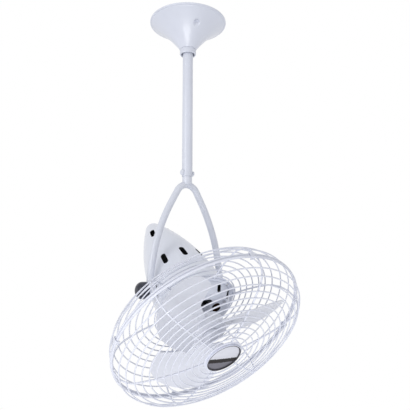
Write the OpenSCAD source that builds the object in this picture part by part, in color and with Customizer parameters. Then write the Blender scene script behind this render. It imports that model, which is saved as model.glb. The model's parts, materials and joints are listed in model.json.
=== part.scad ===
// Directional ceiling fan: a caged three-blade head that tilts in a tubular yoke on a downrod.
// Origin: centre of the ceiling face of the bracket plate. +Z is up, the tilt axis is along X,
// and the head looks towards -Y and down. All sizes are millimetres.

/* [Drop and tilt] */
// Ceiling down to the tilt axis
pivot_drop = 700; // [640:5:800]
// Angle of the fan axis from straight down at rest
rest_tilt = 46; // [0:1:90]

/* [Canopy] */
// Diameter of the canopy at the ceiling
canopy_d = 200; // [180:1:220]
// Height of the canopy bell, from the ceiling to its neck
canopy_h = 76; // [72:1:84]
// Sheet thickness of the canopy
canopy_wall = 1.2; // [0.8:0.1:1.6]
// Height of the straight lip at the ceiling
canopy_lip = 4; // [2:0.5:6]
// Radius of the bell's hollow curve
bell_curve_r = 240; // [220:5:400]
// Outer diameter of the collar ring under the bell
collar_d = 42.6; // [40:0.2:46]
// Height of the collar ring
collar_h = 14; // [10:0.5:18]
// Wall of the collar ring
collar_wall = 3.6; // [2:0.1:4]

/* [Ceiling bracket] */
// Diameter of the bracket's top plate
plate_d = 142; // [138:1:150]
// Thickness of the bracket's steel
plate_t = 2.5; // [2:0.1:3]
// Spacing of the two ceiling screw slots, centre to centre
slot_pitch = 89; // [80:1:96]
// Width of a ceiling screw slot
slot_w = 5.5; // [4.5:0.5:7]
// Length of a ceiling screw slot
slot_l = 14; // [9:1:18]
// Width of the two hanging straps
strap_w = 20; // [14:1:22]
// Diameter of the hanger ball
ball_d = 52; // [48:1:53]
// Ceiling down to the middle of the hanger ball
ball_drop = 44; // [42:1:46]

/* [Downrod] */
// Outer diameter of the downrod
rod_d = 26.7; // [24:0.1:27.5]
// Wall of the downrod
rod_wall = 2.4; // [1.6:0.1:3.2]
// Height of the downrod's lower end above the middle of the yoke's top bend
rod_above = 20.8; // [18:0.1:36]
// Depth of the yoke stem inside the downrod
stem_in = 60; // [40:1:80]
// Height of the cross bolt above the downrod's lower end
bolt_up = 10; // [9:0.5:20]
// Diameter of the cross bolt
bolt_d = 6; // [5:0.5:8]

/* [Yoke] */
// Distance from the housing's side to the middle of each yoke arm at the tilt axis
yoke_clear = 14; // [13:0.5:20]
// Outer diameter of the yoke tube
tube_d = 17; // [15:0.5:18]
// Radius to which each arm is bowed
bow_r = 435; // [430:5:480]
// Angle through which each arm is bowed
bow_angle = 30; // [28:0.5:31]
// Radius of the bend at the top of the yoke
apex_r = 32; // [30:0.5:34]
// Diameter of the eye at each arm's end
eye_d = 34; // [30:1:38]
// Thickness of the eye
eye_t = 18; // [16:0.5:18]

/* [Tilt pivot] */
// Diameter of the tilt stud
stud_d = 10; // [8:0.5:12]
// Diameter of the boss on the housing
boss_d = 28; // [24:1:32]
// Thickness of the friction washer
washer_t = 3; // [2:0.1:3.6]
// Diameter of the hand knob
knob_d = 40; // [36:1:50]
// Length of the hand knob
knob_l = 25; // [24:1:34]
// Diameter of the cap nut on the other side
cap_d = 38; // [30:1:42]
// Length of the cap nut
cap_l = 28; // [22:1:32]

/* [Motor housing] */
// Largest diameter of the housing
housing_d = 176; // [174:1:177]
// Length of the rear housing behind the tilt axis
tail_l = 251; // [235:1:251]
// Radius of the rounded end of the tail
tail_tip_r = 22; // [18:0.5:22]
// Length of the rear housing in front of the tilt axis
housing_front = 52; // [48:1:56]
// Wall of both housings
housing_wall = 1.6; // [1.2:0.1:2]
// Length of the front housing
front_l = 30; // [28:1:31]
// Length of the front housing's straight side, in front of which it narrows
side_l = 8.5; // [8.4:0.1:9]
// Radius of the front housing's flat face
face_r = 70; // [69:0.5:72]
// Width of the flange between the housings
flange_w = 8; // [7:0.5:9]
// Thickness of a flange
flange_t = 2.5; // [2:0.1:3]
// Number of vent slots round the housing
vent_n = 10; // [6:1:12]
// Number of vent slots round the tail
tail_vent_n = 5; // [3:1:6]
// Length of a vent slot
vent_l = 35; // [24:1:40]
// Width of a vent slot
vent_w = 13; // [8:0.5:14]

/* [Cage] */
// Radius of the cage at the middle of its rim wires
cage_r = 226; // [222:1:232]
// Distance from the tilt axis to the plane between the two guards
rim_at = 131; // [129:1:136]
// Depth of the front guard
front_depth = 70; // [66:1:76]
// Number of radial wires in each guard
radial_n = 6; // [3:1:8]
// Angle of the first radial wire
radial_angle = 28; // [20:1:40]
// Spacing of the front guard's rings
front_pitch = 15; // [13:0.5:18]
// Spacing of the rear guard's rings
rear_pitch = 15.5; // [13:0.5:18]
// Diameter of a ring wire
ring_wire = 3; // [2.4:0.1:3.6]
// Diameter of a radial wire
radial_wire = 4; // [3:0.1:5]
// Diameter of a rim wire
rim_wire = 5.4; // [4:0.1:6]
// Diameter of the badge on the front guard
badge_d = 82; // [70:1:90]
// Number of clips round the rim
clip_n = 4; // [2:1:4]

/* [Blades] */
// Diameter swept by the blades
sweep_d = 388; // [370:1:392]
// Thickness of a blade
blade_t = 1.5; // [1:0.1:2]
// Radius of a blade's broad round part
petal_r = 72; // [66:1:76]
// Angle of a blade's chord to the plane of rotation
blade_pitch = 21; // [20:0.5:27]
// Radius to which a blade is curved
camber_r = 420; // [380:5:600]
// Angle of the first blade
blade_angle = 23; // [0:1:119]
// Distance from the tilt axis to the middle of the blades
blade_at = 126; // [122:0.5:128]
// Diameter of the hub
hub_d = 84; // [76:1:88]
// Length of the hub
hub_l = 28; // [24:1:30]

/* [Motor] */
// Diameter of the motor shaft
shaft_d = 12; // [10:0.5:14]
// Diameter of the stator's laminations
stator_d = 140; // [130:1:142]
// Length of the stator's laminations
stator_l = 32; // [28:1:34]
// Diameter of the rotor
rotor_d = 88; // [80:1:90]
// Outer diameter of a bearing
bearing_d = 32; // [28:1:36]
// Width of a bearing
bearing_w = 10; // [8:0.5:12]
// Diameter of the run capacitor
capacitor_d = 38; // [30:1:44]
// Length of the run capacitor
capacitor_l = 58; // [50:1:64]

/* [Fits] */
// Gap between faces that stay apart
gap = 0.3; // [0.2:0.05:0.4]
// Radial clearance of a pin or shaft in its hole
pin_fit = 0.05; // [0.02:0.01:0.08]

/* [Hidden] */
$fn = 96;
// How far a cutting tool runs past the face that it cuts
past = 1;

// Canopy: the bell's hollow curve is an arc from the lip to the neck, centred outside the bell
canopy_r = canopy_d / 2;
collar_r = collar_d / 2;
bell_rim = [canopy_r - 2, -canopy_lip];
bell_neck = [collar_r, -canopy_h];
function arc_centre(p, q, r) = let (d = q - p, c = norm(d), m = (p + q) / 2)
    m + [d[1], -d[0]] / c * sqrt(r * r - c * c / 4);
bell_c = arc_centre(bell_neck, bell_rim, bell_curve_r);
canopy_screw_angle = -102.5;
canopy_screw_r = 62;
screw_d = 4;
dimple_r = screw_d + 1;
dimple_floor = -22;

// Hanger: the ball sits in the bracket's cup, and the downrod hangs from a pin across the ball
ball_z = -ball_drop;
ball_half = ball_d * 0.4;
cup_top = ball_z - 5;
cup_foot = ball_z - 13;
cup_wall = 3.2;
cup_r = ball_d / 2 + 3;
pin_d = 6;
pin_z = ball_z + 4;
rod_top = ball_z + ball_half - 2;
rod_bore = rod_d - 2 * rod_wall;
terminal_at = 38;
terminal_l = 32;
terminal_w = 16;
terminal_h = 13;
bolt_head_d = 15;
bolt_head_t = 4;
bolt_nut_t = 4.5;

// Yoke: each arm starts upright at its eye, is bowed inwards, runs straight and meets the top bend
yoke_half = housing_d / 2 + yoke_clear;
bow_in = bow_r * (1 - cos(bow_angle));
bow_top = bow_r * sin(bow_angle);
straight_l = (yoke_half - bow_in - apex_r * cos(bow_angle)) / sin(bow_angle);
apex_h = bow_top + straight_l * cos(bow_angle) + apex_r * (1 - sin(bow_angle));
rod_end = apex_h + rod_above;
rod_bottom = rod_end - pivot_drop;
bolt_z = rod_bottom + bolt_up;
sleeve_l = 3;
sleeve_step = 0.4;
stem_r = rod_bore / 2 - pin_fit;

// Places along X at the tilt axis
eye_in = yoke_half - eye_t / 2;
eye_out = yoke_half + eye_t / 2;
boss_end = eye_in - washer_t - 2 * gap;
knob_from = eye_out + gap;
stud_head_d = 20;
stud_head_t = 4;
stud_reach = 14;
grip_n = 12;
grip_r = 2.6;

// Housing: one long arc from the front rim, closed by a rounded tip that meets it smoothly
housing_r = housing_d / 2;
widest_at = 40;
tip_at = tail_tip_r - tail_l;
dome_r = (pow(housing_r, 2) + pow(widest_at - tip_at, 2) - pow(tail_tip_r, 2))
         / (2 * (housing_r - tail_tip_r));
dome_c = [housing_r - dome_r, widest_at];
tip_join = (dome_c + ([0, tip_at] - dome_c) / norm([0, tip_at] - dome_c) * dome_r)[1];
boss_from = housing_r - 8;
flange_r = housing_r + flange_w;
front_at = housing_front + gap;
front_end = front_at + front_l;
vent_at = -55;
tail_vent_at = -180;
vent_angle = 140;
face_vent_n = 6;
face_vent_angle = 37;
face_vent_r = 41;
face_vent_l = 32;
face_vent_w = 20;
cone_vent_n = 12;
cone_vent_angle = 15;
cone_vent_l = 22;
cone_vent_w = 11;
cone_from = front_at + side_l;
cone_angle = atan2(housing_r - face_r, front_end - cone_from);
// Inner corners of the front housing's wall, where the cone meets the side and the face
cone_in = cone_from - housing_wall * tan(cone_angle / 2);
face_in = face_r - housing_wall * tan(45 - cone_angle / 2);

// Stack of flanges: rear housing, front housing, rear guard, clamp ring, one on the other
guard_plate_at = front_at + flange_t + gap;
clamp_at = guard_plate_at + flange_t + gap;
clamp_r = flange_r - 1;
stack_end = clamp_at + flange_t;
flange_screw_n = 6;
flange_screw_r = housing_r + flange_w / 2;
flange_screw_d = 3;
flange_screw_angle = radial_angle + 30;
flange_nut_t = 2.4;

// Cage: each guard's outline is a tight shoulder arc that runs into a nearly flat face arc
shoulder_angle = 75;
// How deep one wire sinks into another where they are welded
weld = 0.5;
// The face part of a radial wire is this much thinner, and starts this far inside the shoulder part
wire_sleeve_step = 0.2;
wire_sleeve_angle = 0.4;
radial_inset = (ring_wire + radial_wire) / 2 - weld;
rim_gap = (rim_wire + gap) / 2;
guard_plate_t = 2;
front_plate_r = badge_d / 2 + 2;
rear_plate_r = flange_r + 3;
front_rise = front_depth - rim_gap;
rear_rise = rim_at - rim_gap - guard_plate_at - flange_t + radial_inset - radial_wire / 2 + weld;
front_run = cage_r - front_plate_r;
rear_run = cage_r - rear_plate_r;
front_plate_z = front_rise - radial_inset + radial_wire / 2 - weld;
front_shoulder = 7;
rear_shoulder = 4;
front_ring_n = floor((cage_r - front_shoulder - 6 - front_plate_r) / front_pitch);
rear_ring_n = floor((cage_r - rear_shoulder - 10 - rear_plate_r) / rear_pitch) + 1;
function arc_span(run, rise) = (run - rise) / (cos(shoulder_angle) - 1 + sin(shoulder_angle));
function shoulder_r(run, rise) = rise - (1 - sin(shoulder_angle)) * arc_span(run, rise);
function face_r(run, rise) = shoulder_r(run, rise) + arc_span(run, rise);
function guard_depth(r, run, rise) =
    let (sr = shoulder_r(run, rise), fr = face_r(run, rise), sc = cage_r - sr)
    r >= sc + sr * cos(shoulder_angle) ? sqrt(sr * sr - pow(r - sc, 2))
                                       : rise - fr + sqrt(fr * fr - pow(r - cage_r + run, 2));
clip_w = 10;
clip_t = 1.5;
clip_in = 5;
clip_angle = radial_angle + 64;

// Badge: its bezel stands on the front guard's plate and its back is held by two small screws
badge_seat = rim_at + rim_gap + front_plate_z + guard_plate_t + gap;
badge_r = badge_d / 2;
bezel_w = 3;
bezel_t = 4.5;
badge_t = 3;
badge_screw_d = 3;
badge_screw_r = badge_r - bezel_w - 4;

// Blades and hub
petal_at = sweep_d / 2 - petal_r;
hub_r = hub_d / 2;
hub_at = blade_at - 17;
hub_end = hub_at + hub_l;
arm_t = 3;
arm_w = 38;
arm_end = 104;
rivet_d = 5;
rivet_head_t = 1.2;
rivet_at = [62, 88];
root_at = 20;
root_front = 62;
root_back = 8;
root_bend = [84, -26];
root_notch = [97, -56];
spinner_d = 36;
spinner_l = 16;

// Motor: everything inside sits on the fan axis
shaft_r = shaft_d / 2;
shoulder_d = shaft_d + 4;
stator_r = stator_d / 2;
rotor_r = rotor_d / 2;
air_gap = 0.5;
skirt_t = 2.5;
skirt_from = 9;
skirt_r = stator_r + pin_fit + skirt_t;
skirt_end = cone_from + (housing_r - skirt_r) / tan(cone_angle) - housing_wall / 2;
stator_at = 26;
winding_h = 10;
seat_t = 3;
front_bearing_at = front_end - housing_wall - bearing_w - 5;
bearing_plate_t = 2;
plate_at = skirt_from - bearing_plate_t;
rear_bearing_at = plate_at - gap - bearing_w;
motor_bolt_r = stator_r - 6;
slot_n = 12;
slot_r = 4.5;
rotor_hole_n = 8;
rotor_hole_r = 7;
plate_hole_r = 11;
plate_hole_at = stator_r * 0.55;
bolt_head_l = 3;
capacitor_at = rear_bearing_at - 8 - capacitor_l;
strap_h = 20;

// Everything on the head is drawn along +Z from the tilt axis and turned into place here
module on_head() {
    translate([0, 0, -pivot_drop]) rotate([180 - rest_tilt, 0, 0]) children();
}

// A disc or ring about the Z axis, from z0 to z1
module ring(r_out, r_in, z0, z1) {
    translate([0, 0, z0]) difference() {
        cylinder(r = r_out, h = z1 - z0);
        if (r_in > 0) translate([0, 0, -past]) cylinder(r = r_in, h = z1 - z0 + 2 * past);
    }
}

// A round bar along X, from x0 to x1
module bar_x(d, x0, x1) {
    translate([x0, 0, 0]) rotate([0, 90, 0]) cylinder(d = d, h = x1 - x0);
}

// A ring of round wire
module wire_ring(r, z, wire) {
    translate([0, 0, z]) rotate_extrude() translate([r, 0]) circle(d = wire, $fn = 32);
}

// Copies set evenly round the Z axis
module around(n, start = 0) {
    for (i = [0 : n - 1]) rotate([0, 0, start + 360 * i / n]) children();
}

// The same thing on both sides of the fan
module both_sides() {
    for (m = [0, 1]) mirror([m, 0, 0]) children();
}

// A slot outline with round ends, long along X
module slot_outline(l, w) {
    square([l - w, w], center = true);
    for (s = [-1, 1]) translate([s * (l - w) / 2, 0]) circle(d = w);
}

module canopy_screw_places() {
    around(2, canopy_screw_angle) translate([canopy_screw_r, 0, 0]) children();
}

module ceiling_bracket() color("silver") difference() {
    union() {
        ring(plate_d / 2, rod_d / 2 + 6, -plate_t, 0);
        for (s = [-1, 1]) translate([s * (cup_r + cup_wall - plate_t / 2), 0, cup_top / 2])
            cube([plate_t, strap_w, -cup_top], center = true);
        ring(cup_r + cup_wall, 0, cup_foot, cup_top);
    }
    translate([0, 0, ball_z]) sphere(r = ball_d / 2 + pin_fit);
    ring(rod_d / 2 + 5, 0, cup_foot - past, cup_top);
    for (s = [-1, 1]) translate([s * slot_pitch / 2, 0, -plate_t - past])
        linear_extrude(plate_t + 2 * past) slot_outline(slot_l, slot_w);
    canopy_screw_places() ring(screw_d / 2 + pin_fit, 0, -plate_t - past, past);
}

// The bell between its outer and inner curves, as an outline in the half plane X > 0
module bell_outline(wall) {
    difference() {
        polygon([[0, 0], [canopy_r - wall, 0], [canopy_r - wall, -canopy_lip],
                 [canopy_r - wall, -canopy_h], [0, -canopy_h]]);
        translate(bell_c) circle(r = bell_curve_r + wall, $fn = 240);
    }
}

module canopy() color("lavender") difference() {
    union() {
        difference() {
            rotate_extrude() bell_outline(0);
            rotate_extrude() bell_outline(canopy_wall);
        }
        intersection() {
            rotate_extrude() bell_outline(0);
            canopy_screw_places() ring(dimple_r + canopy_wall, 0, -canopy_h, dimple_floor);
        }
    }
    canopy_screw_places() {
        ring(dimple_r, 0, -canopy_h, dimple_floor - canopy_wall);
        ring(screw_d / 2 + pin_fit, 0, -canopy_h, 0);
    }
}

module canopy_collar() color("lavender") {
    ring(collar_r, collar_r - collar_wall, -canopy_h - gap - collar_h, -canopy_h - gap);
}

module canopy_screws() color("gainsboro") canopy_screw_places() {
    ring(screw_d / 2, 0, dimple_floor - canopy_wall - gap - past, 0);
    ring(screw_d - 0.6, 0, dimple_floor - canopy_wall - gap - 3, dimple_floor - canopy_wall - gap);
}

module hanger_ball() color("dimgray") translate([0, 0, ball_z]) difference() {
    intersection() {
        sphere(d = ball_d);
        cube([ball_d + past, ball_d + past, 2 * ball_half], center = true);
    }
    ring(rod_d / 2 + pin_fit, 0, -ball_d, ball_d);
    translate([0, 0, pin_z - ball_z]) bar_x(pin_d + 2 * pin_fit, -ball_d, ball_d);
}

module hanger_pin() color("silver") translate([0, 0, pin_z])
    bar_x(pin_d, -ball_d / 2 + 3, ball_d / 2 - 3);

// A connector strip with three wire holes through it, under the plate
module terminal_block() color("ivory") translate([0, terminal_at, -plate_t]) difference() {
    translate([-terminal_l / 2, -terminal_w / 2, -terminal_h]) cube([terminal_l, terminal_w, terminal_h]);
    for (i = [-1, 0, 1]) translate([i * 10, 0, -8]) rotate([90, 0, 0])
        cylinder(d = 4, h = 2 * terminal_w, center = true);
}

module downrod() color("lavender") difference() {
    ring(rod_d / 2, rod_bore / 2, rod_bottom, rod_top);
    translate([0, 0, pin_z]) bar_x(pin_d + 2 * pin_fit, -rod_d, rod_d);
    translate([0, 0, bolt_z]) bar_x(bolt_d + 2 * pin_fit, -rod_d, rod_d);
}

// One arm of the yoke: the eye, the bow, and a straight run that is sleeved into its neighbours
module yoke_arm() {
    bar_x(eye_d, eye_in, eye_out);
    translate([yoke_half - bow_r, 0, 0]) rotate([90, 0, 0]) rotate_extrude(angle = bow_angle)
        translate([bow_r, 0]) circle(d = tube_d, $fn = 48);
    translate([yoke_half - bow_in, 0, bow_top]) rotate([0, -bow_angle, 0]) translate([0, 0, -sleeve_l])
        cylinder(d = tube_d - sleeve_step, h = straight_l + 2 * sleeve_l, $fn = 48);
}

// The bend that joins the two arms
module yoke_top() {
    translate([0, 0, apex_h - apex_r]) rotate([90, 0, 0]) rotate([0, 0, bow_angle])
        rotate_extrude(angle = 180 - 2 * bow_angle) translate([apex_r, 0])
            circle(d = tube_d, $fn = 48);
}

module yoke() color("lavender") translate([0, 0, -pivot_drop]) difference() {
    union() {
        both_sides() yoke_arm();
        yoke_top();
        ring(stem_r, 0, apex_h, rod_end + stem_in);
        ring(rod_d / 2 - 1, 0, apex_h, rod_end - gap);
    }
    bar_x(stud_d + 2 * pin_fit, -2 * yoke_half, 2 * yoke_half);
    translate([0, 0, rod_end + bolt_up]) bar_x(bolt_d + 2 * pin_fit, -rod_d, rod_d);
    ring(stem_r - rod_wall, 0, apex_h + tube_d / 2, rod_end + stem_in + past);
}

// The cross bolt goes through the downrod and the yoke stem, with its head on the -X side
module yoke_bolt() color("silver") translate([0, 0, bolt_z]) {
    bar_x(bolt_d, -rod_d / 2 - gap - past, rod_d / 2 + gap + bolt_nut_t + past);
    bar_x(bolt_head_d, -rod_d / 2 - gap - bolt_head_t, -rod_d / 2 - gap);
}

module yoke_nut() color("silver") translate([rod_d / 2 + gap, 0, bolt_z]) difference() {
    rotate([0, 90, 0]) cylinder(d = bolt_head_d - 2, h = bolt_nut_t, $fn = 6);
    bar_x(bolt_d + 2 * pin_fit, -past, bolt_nut_t + past);
}

// Solid of the rear housing, drawn in on every side by the given wall
module dome(wall) {
    rotate_extrude() {
        intersection() {
            translate(dome_c) circle(r = dome_r - wall, $fn = 240);
            translate([0, tip_join]) square([housing_r, housing_front - tip_join]);
        }
        intersection() {
            translate([0, tip_at]) circle(r = tail_tip_r - wall);
            translate([0, -tail_l]) square([housing_r, tip_join + tail_l]);
        }
    }
}

// Slots cut outwards from radius r, lengthways along the axis
module vent_cuts(n, z, r) {
    around(n, vent_angle) translate([r, 0, z]) rotate([0, 90, 0])
        linear_extrude(housing_r) slot_outline(vent_l, vent_w);
}

module flange_holes(z) {
    around(flange_screw_n, flange_screw_angle) translate([flange_screw_r, 0, 0])
        ring(flange_screw_d / 2 + pin_fit, 0, z - past, z + flange_t + past);
}

module rear_housing() color("lavender") on_head() difference() {
    union() {
        dome(0);
        ring(flange_r, 0, housing_front - flange_t, housing_front);
    }
    dome(housing_wall);
    ring(housing_r - housing_wall - 0.5, 0, housing_front - flange_t - past, housing_front + past);
    vent_cuts(vent_n, vent_at, housing_r / 2);
    vent_cuts(tail_vent_n, tail_vent_at, tail_tip_r);
    bar_x(boss_d + 2 * pin_fit, -housing_d, housing_d);
    flange_holes(housing_front - flange_t);
}

module motor_bolt_places() {
    around(4, 45) translate([motor_bolt_r, 0, 0]) children();
}

// A vent slot through the front housing's wall, long in X, with the wall's outer face at z = 0
module wall_vent(l, w) {
    translate([0, 0, -housing_wall - past])
        linear_extrude(housing_wall + 2 * past) slot_outline(l, w);
}

// The front housing carries the front bearing, the stator in its skirt, and the rear guard
module front_housing() color("lavender") on_head() difference() {
    union() {
        ring(flange_r, housing_r - housing_wall, front_at, front_at + flange_t);
        rotate_extrude() polygon([[housing_r - housing_wall, front_at], [housing_r, front_at],
            [housing_r, cone_from], [face_r, front_end], [0, front_end], [0, front_end - housing_wall],
            [face_in, front_end - housing_wall], [housing_r - housing_wall, cone_in]]);
        ring(bearing_d / 2 + seat_t, 0, front_bearing_at + 2, front_end);
        ring(skirt_r, stator_r + pin_fit, skirt_from, skirt_end);
    }
    ring(bearing_d / 2 + pin_fit, 0, front_bearing_at, front_bearing_at + bearing_w + pin_fit);
    ring(shoulder_d / 2 + 1, 0, front_at, front_end + past);
    flange_holes(front_at);
    motor_bolt_places() ring(screw_d / 2 + pin_fit, 0, front_end - 2 * housing_wall, front_end + past);
    around(face_vent_n, face_vent_angle) translate([face_vent_r, 0, front_end])
        rotate([0, 0, 90]) wall_vent(face_vent_l, face_vent_w);
    around(cone_vent_n, cone_vent_angle)
        translate([(housing_r + face_r) / 2, 0, (cone_from + front_end) / 2])
            rotate([0, 90 - cone_angle, 0]) wall_vent(cone_vent_l, cone_vent_w);
}

// Screws through the whole stack of flanges, with their heads in front
module flange_screws() color("gray") on_head()
    around(flange_screw_n, flange_screw_angle) translate([flange_screw_r, 0, 0]) {
        ring(flange_screw_d / 2, 0, housing_front - flange_t - 4, stack_end + gap + past);
        ring(flange_screw_d, 0, stack_end + gap, stack_end + gap + flange_nut_t);
    }

module flange_nuts() color("gray") on_head()
    around(flange_screw_n, flange_screw_angle)
        translate([flange_screw_r, 0, housing_front - flange_t - gap - flange_nut_t]) difference() {
            cylinder(d = 2 * flange_screw_d, h = flange_nut_t, $fn = 6);
            ring(flange_screw_d / 2 + pin_fit, 0, -past, flange_nut_t + past);
        }

// The turned bosses stand through the housing wall and carry the tilt studs
module tilt_bosses() color("lavender") on_head() both_sides() difference() {
    bar_x(boss_d, boss_from, boss_end);
    bar_x(stud_d + 2 * pin_fit, boss_from - past, boss_end + past);
}

// Each stud has its head inside the housing and runs out through boss, washer and eye
module tilt_studs() color("silver") on_head() both_sides() {
    bar_x(stud_d, boss_from - gap - past, knob_from + stud_reach);
    bar_x(stud_head_d, boss_from - gap - stud_head_t, boss_from - gap);
}

module friction_washers() color("dimgray") on_head() both_sides() difference() {
    bar_x(boss_d + 2, boss_end + gap, eye_in - gap);
    bar_x(stud_d + 2 * pin_fit, boss_end, eye_in);
}

// A turned cap from its flat face at 0 to its crown at l, rounded over the last stretch
module crown(d, l, edge) {
    rotate_extrude() {
        square([d / 2, l - edge]);
        translate([0, l - edge]) square([d / 2 - edge, edge]);
        intersection() {
            translate([d / 2 - edge, l - edge]) circle(r = edge);
            translate([d / 2 - edge, l - edge]) square(edge);
        }
    }
}

module tilt_cap() color("lavender") on_head() translate([knob_from, 0, 0]) rotate([0, 90, 0])
    difference() {
        crown(cap_d, cap_l, 11);
        ring(stud_d / 2 + pin_fit, 0, -past, stud_reach + gap);
        ring(3.5, 0, cap_l - 3, cap_l + past);
    }

// The hand knob that clamps the tilt, with shallow grips round its edge
module tilt_knob() color("dimgray") translate([-knob_from, 0, -pivot_drop]) rotate([0, -90, 0])
    difference() {
        crown(knob_d, knob_l, 15);
        ring(stud_d / 2 + pin_fit, 0, -past, stud_reach + gap);
        around(grip_n) translate([knob_d / 2 + 1.6, 0, 0]) ring(grip_r, 0, -past, knob_l - 14);
    }

module stator_core() color("gray") on_head() difference() {
    ring(stator_r, rotor_r + air_gap, stator_at, stator_at + stator_l);
    around(slot_n) translate([rotor_r + slot_r + 2.5, 0, 0])
        ring(slot_r, 0, stator_at - past, stator_at + stator_l + past);
    motor_bolt_places() ring(screw_d / 2 + pin_fit, 0, stator_at - past, stator_at + stator_l + past);
}

// Copper windings, bunched in a ring at each end of the laminations
module stator_windings() color("peru") on_head() {
    ring(motor_bolt_r - 4, rotor_r + 2, stator_at - winding_h, stator_at);
    ring(motor_bolt_r - 4, rotor_r + 2, stator_at + stator_l, stator_at + stator_l + winding_h);
}

// A ball bearing with the grooves of its shields on both faces
module bearing(z) {
    difference() {
        ring(bearing_d / 2, shaft_r + pin_fit, z, z + bearing_w);
        ring(bearing_d / 2 - 3, shaft_r + 3, z - past, z + past);
        ring(bearing_d / 2 - 3, shaft_r + 3, z + bearing_w - past, z + bearing_w + past);
    }
}

module front_bearing() color("silver") on_head() bearing(front_bearing_at);

module rear_bearing() color("silver") on_head() bearing(rear_bearing_at);

// The pressed plate that closes the skirt behind the stator and carries the rear bearing
module bearing_plate() color("gainsboro") on_head() difference() {
    union() {
        ring(stator_r + skirt_t, 0, plate_at, skirt_from);
        ring(bearing_d / 2 + seat_t, 0, rear_bearing_at, plate_at + past);
    }
    ring(bearing_d / 2 + pin_fit, 0, rear_bearing_at - past, plate_at);
    ring(shaft_r + 2, 0, plate_at - past, skirt_from + past);
    motor_bolt_places() ring(screw_d / 2 + pin_fit, 0, plate_at - past, skirt_from + past);
    around(face_vent_n, 30) translate([plate_hole_at, 0, 0])
        ring(plate_hole_r, 0, plate_at - past, skirt_from + past);
}

// Four long bolts that clamp front housing, stator and bearing plate together
module motor_bolts() color("silver") on_head() motor_bolt_places() {
    ring(screw_d / 2, 0, plate_at - 6, front_end + gap + past);
    ring(screw_d * 0.9, 0, front_end + gap, front_end + gap + bolt_head_l);
    ring(screw_d * 0.9, 0, plate_at - gap - bolt_head_l, plate_at - gap);
}

module capacitor() color("whitesmoke") on_head() {
    ring(capacitor_d / 2, 0, capacitor_at, capacitor_at + capacitor_l);
    for (s = [-1, 1]) translate([7 * s, 0, 0]) ring(2, 0, capacitor_at - 6, capacitor_at + past);
}

// A strap round the capacitor, with two legs whose feet stand on the bearing plate
module capacitor_clamp() color("silver") on_head() {
    strap_from = capacitor_at + capacitor_l - strap_h - 2;
    strap_r = capacitor_d / 2 + pin_fit;
    leg_in = max(strap_r, bearing_d / 2 + seat_t) + gap;
    ring(leg_in + 2, strap_r, strap_from, strap_from + strap_h);
    around(2) {
        translate([leg_in, -6, strap_from]) cube([2, 12, plate_at - strap_from]);
        translate([leg_in, -6, plate_at - 2]) cube([12, 12, 2]);
    }
}

// A radial wire of a guard, lying just inside its rings, from the rim in to radius r_end
module guard_radial(run, rise, r_end) {
    sr = shoulder_r(run, rise);
    fr = face_r(run, rise);
    start_angle = shoulder_angle - wire_sleeve_angle;
    end_angle = acos((r_end - cage_r + run) / (fr - radial_inset));
    rotate([90, 0, 0]) {
        translate([cage_r - sr, 0, 0]) rotate_extrude(angle = shoulder_angle)
            translate([sr - radial_inset, 0]) circle(d = radial_wire, $fn = 32);
        translate([cage_r - run, rise - fr, 0]) rotate([0, 0, start_angle])
            rotate_extrude(angle = end_angle - start_angle)
                translate([fr - radial_inset, 0]) circle(d = radial_wire - wire_sleeve_step, $fn = 32);
    }
}

// The rings and radial wires of a guard, with its rim at z = 0 and its face towards +Z
module guard_wires(run, rise, shoulder, first, pitch, n, r_end) {
    wire_ring(cage_r, 0, rim_wire);
    wire_ring(cage_r - shoulder, guard_depth(cage_r - shoulder, run, rise), ring_wire);
    for (i = [0 : n - 1]) wire_ring(first + i * pitch, guard_depth(first + i * pitch, run, rise), ring_wire);
    around(radial_n, radial_angle) guard_radial(run, rise, r_end);
}

module rear_guard() color("lavender") on_head() difference() {
    union() {
        translate([0, 0, rim_at - rim_gap]) mirror([0, 0, 1])
            guard_wires(rear_run, rear_rise, rear_shoulder, rear_plate_r + 4, rear_pitch, rear_ring_n,
                        clamp_r + 0.6);
        ring(rear_plate_r, housing_r + gap, guard_plate_at, guard_plate_at + flange_t);
    }
    flange_holes(guard_plate_at);
}

module guard_clamp_ring() color("lavender") on_head() difference() {
    ring(clamp_r, housing_r + gap, clamp_at, stack_end);
    flange_holes(clamp_at);
}

module badge_screw_places() {
    around(3, radial_angle + 30) translate([badge_screw_r, 0, 0]) children();
}

module front_guard() color("lavender") on_head() difference() {
    translate([0, 0, rim_at + rim_gap]) {
        guard_wires(front_run, front_rise, front_shoulder, front_plate_r + front_pitch, front_pitch,
                    front_ring_n, front_plate_r - 6);
        ring(front_plate_r + 3, badge_screw_r - 4, front_plate_z, front_plate_z + guard_plate_t);
    }
    badge_screw_places() ring(badge_screw_d / 2 + pin_fit, 0, badge_seat - 2 * guard_plate_t, badge_seat);
}

// Spring clips that hold the two rim wires together, open towards the fan axis
module guard_clips() color("lavender") on_head() around(clip_n, clip_angle) {
    clip_out = cage_r + rim_wire / 2 + gap;
    clip_half = rim_gap + rim_wire / 2 + gap;
    translate([cage_r - clip_in, -clip_w / 2, rim_at]) difference() {
        translate([0, 0, -clip_half - clip_t])
            cube([clip_out + clip_t - cage_r + clip_in, clip_w, 2 * (clip_half + clip_t)]);
        translate([-past, -past, -clip_half])
            cube([clip_out - cage_r + clip_in + past, clip_w + 2 * past, 2 * clip_half]);
    }
}

module badge() color("silver") on_head() difference() {
    ring(badge_r - bezel_w - gap, 0, badge_seat, badge_seat + badge_t);
    badge_screw_places() ring(badge_screw_d / 2 + pin_fit, 0, badge_seat - past, badge_seat + badge_t - 1);
}

module badge_bezel() color("dimgray") on_head() {
    ring(badge_r, badge_r - bezel_w, badge_seat, badge_seat + bezel_t);
}

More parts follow.
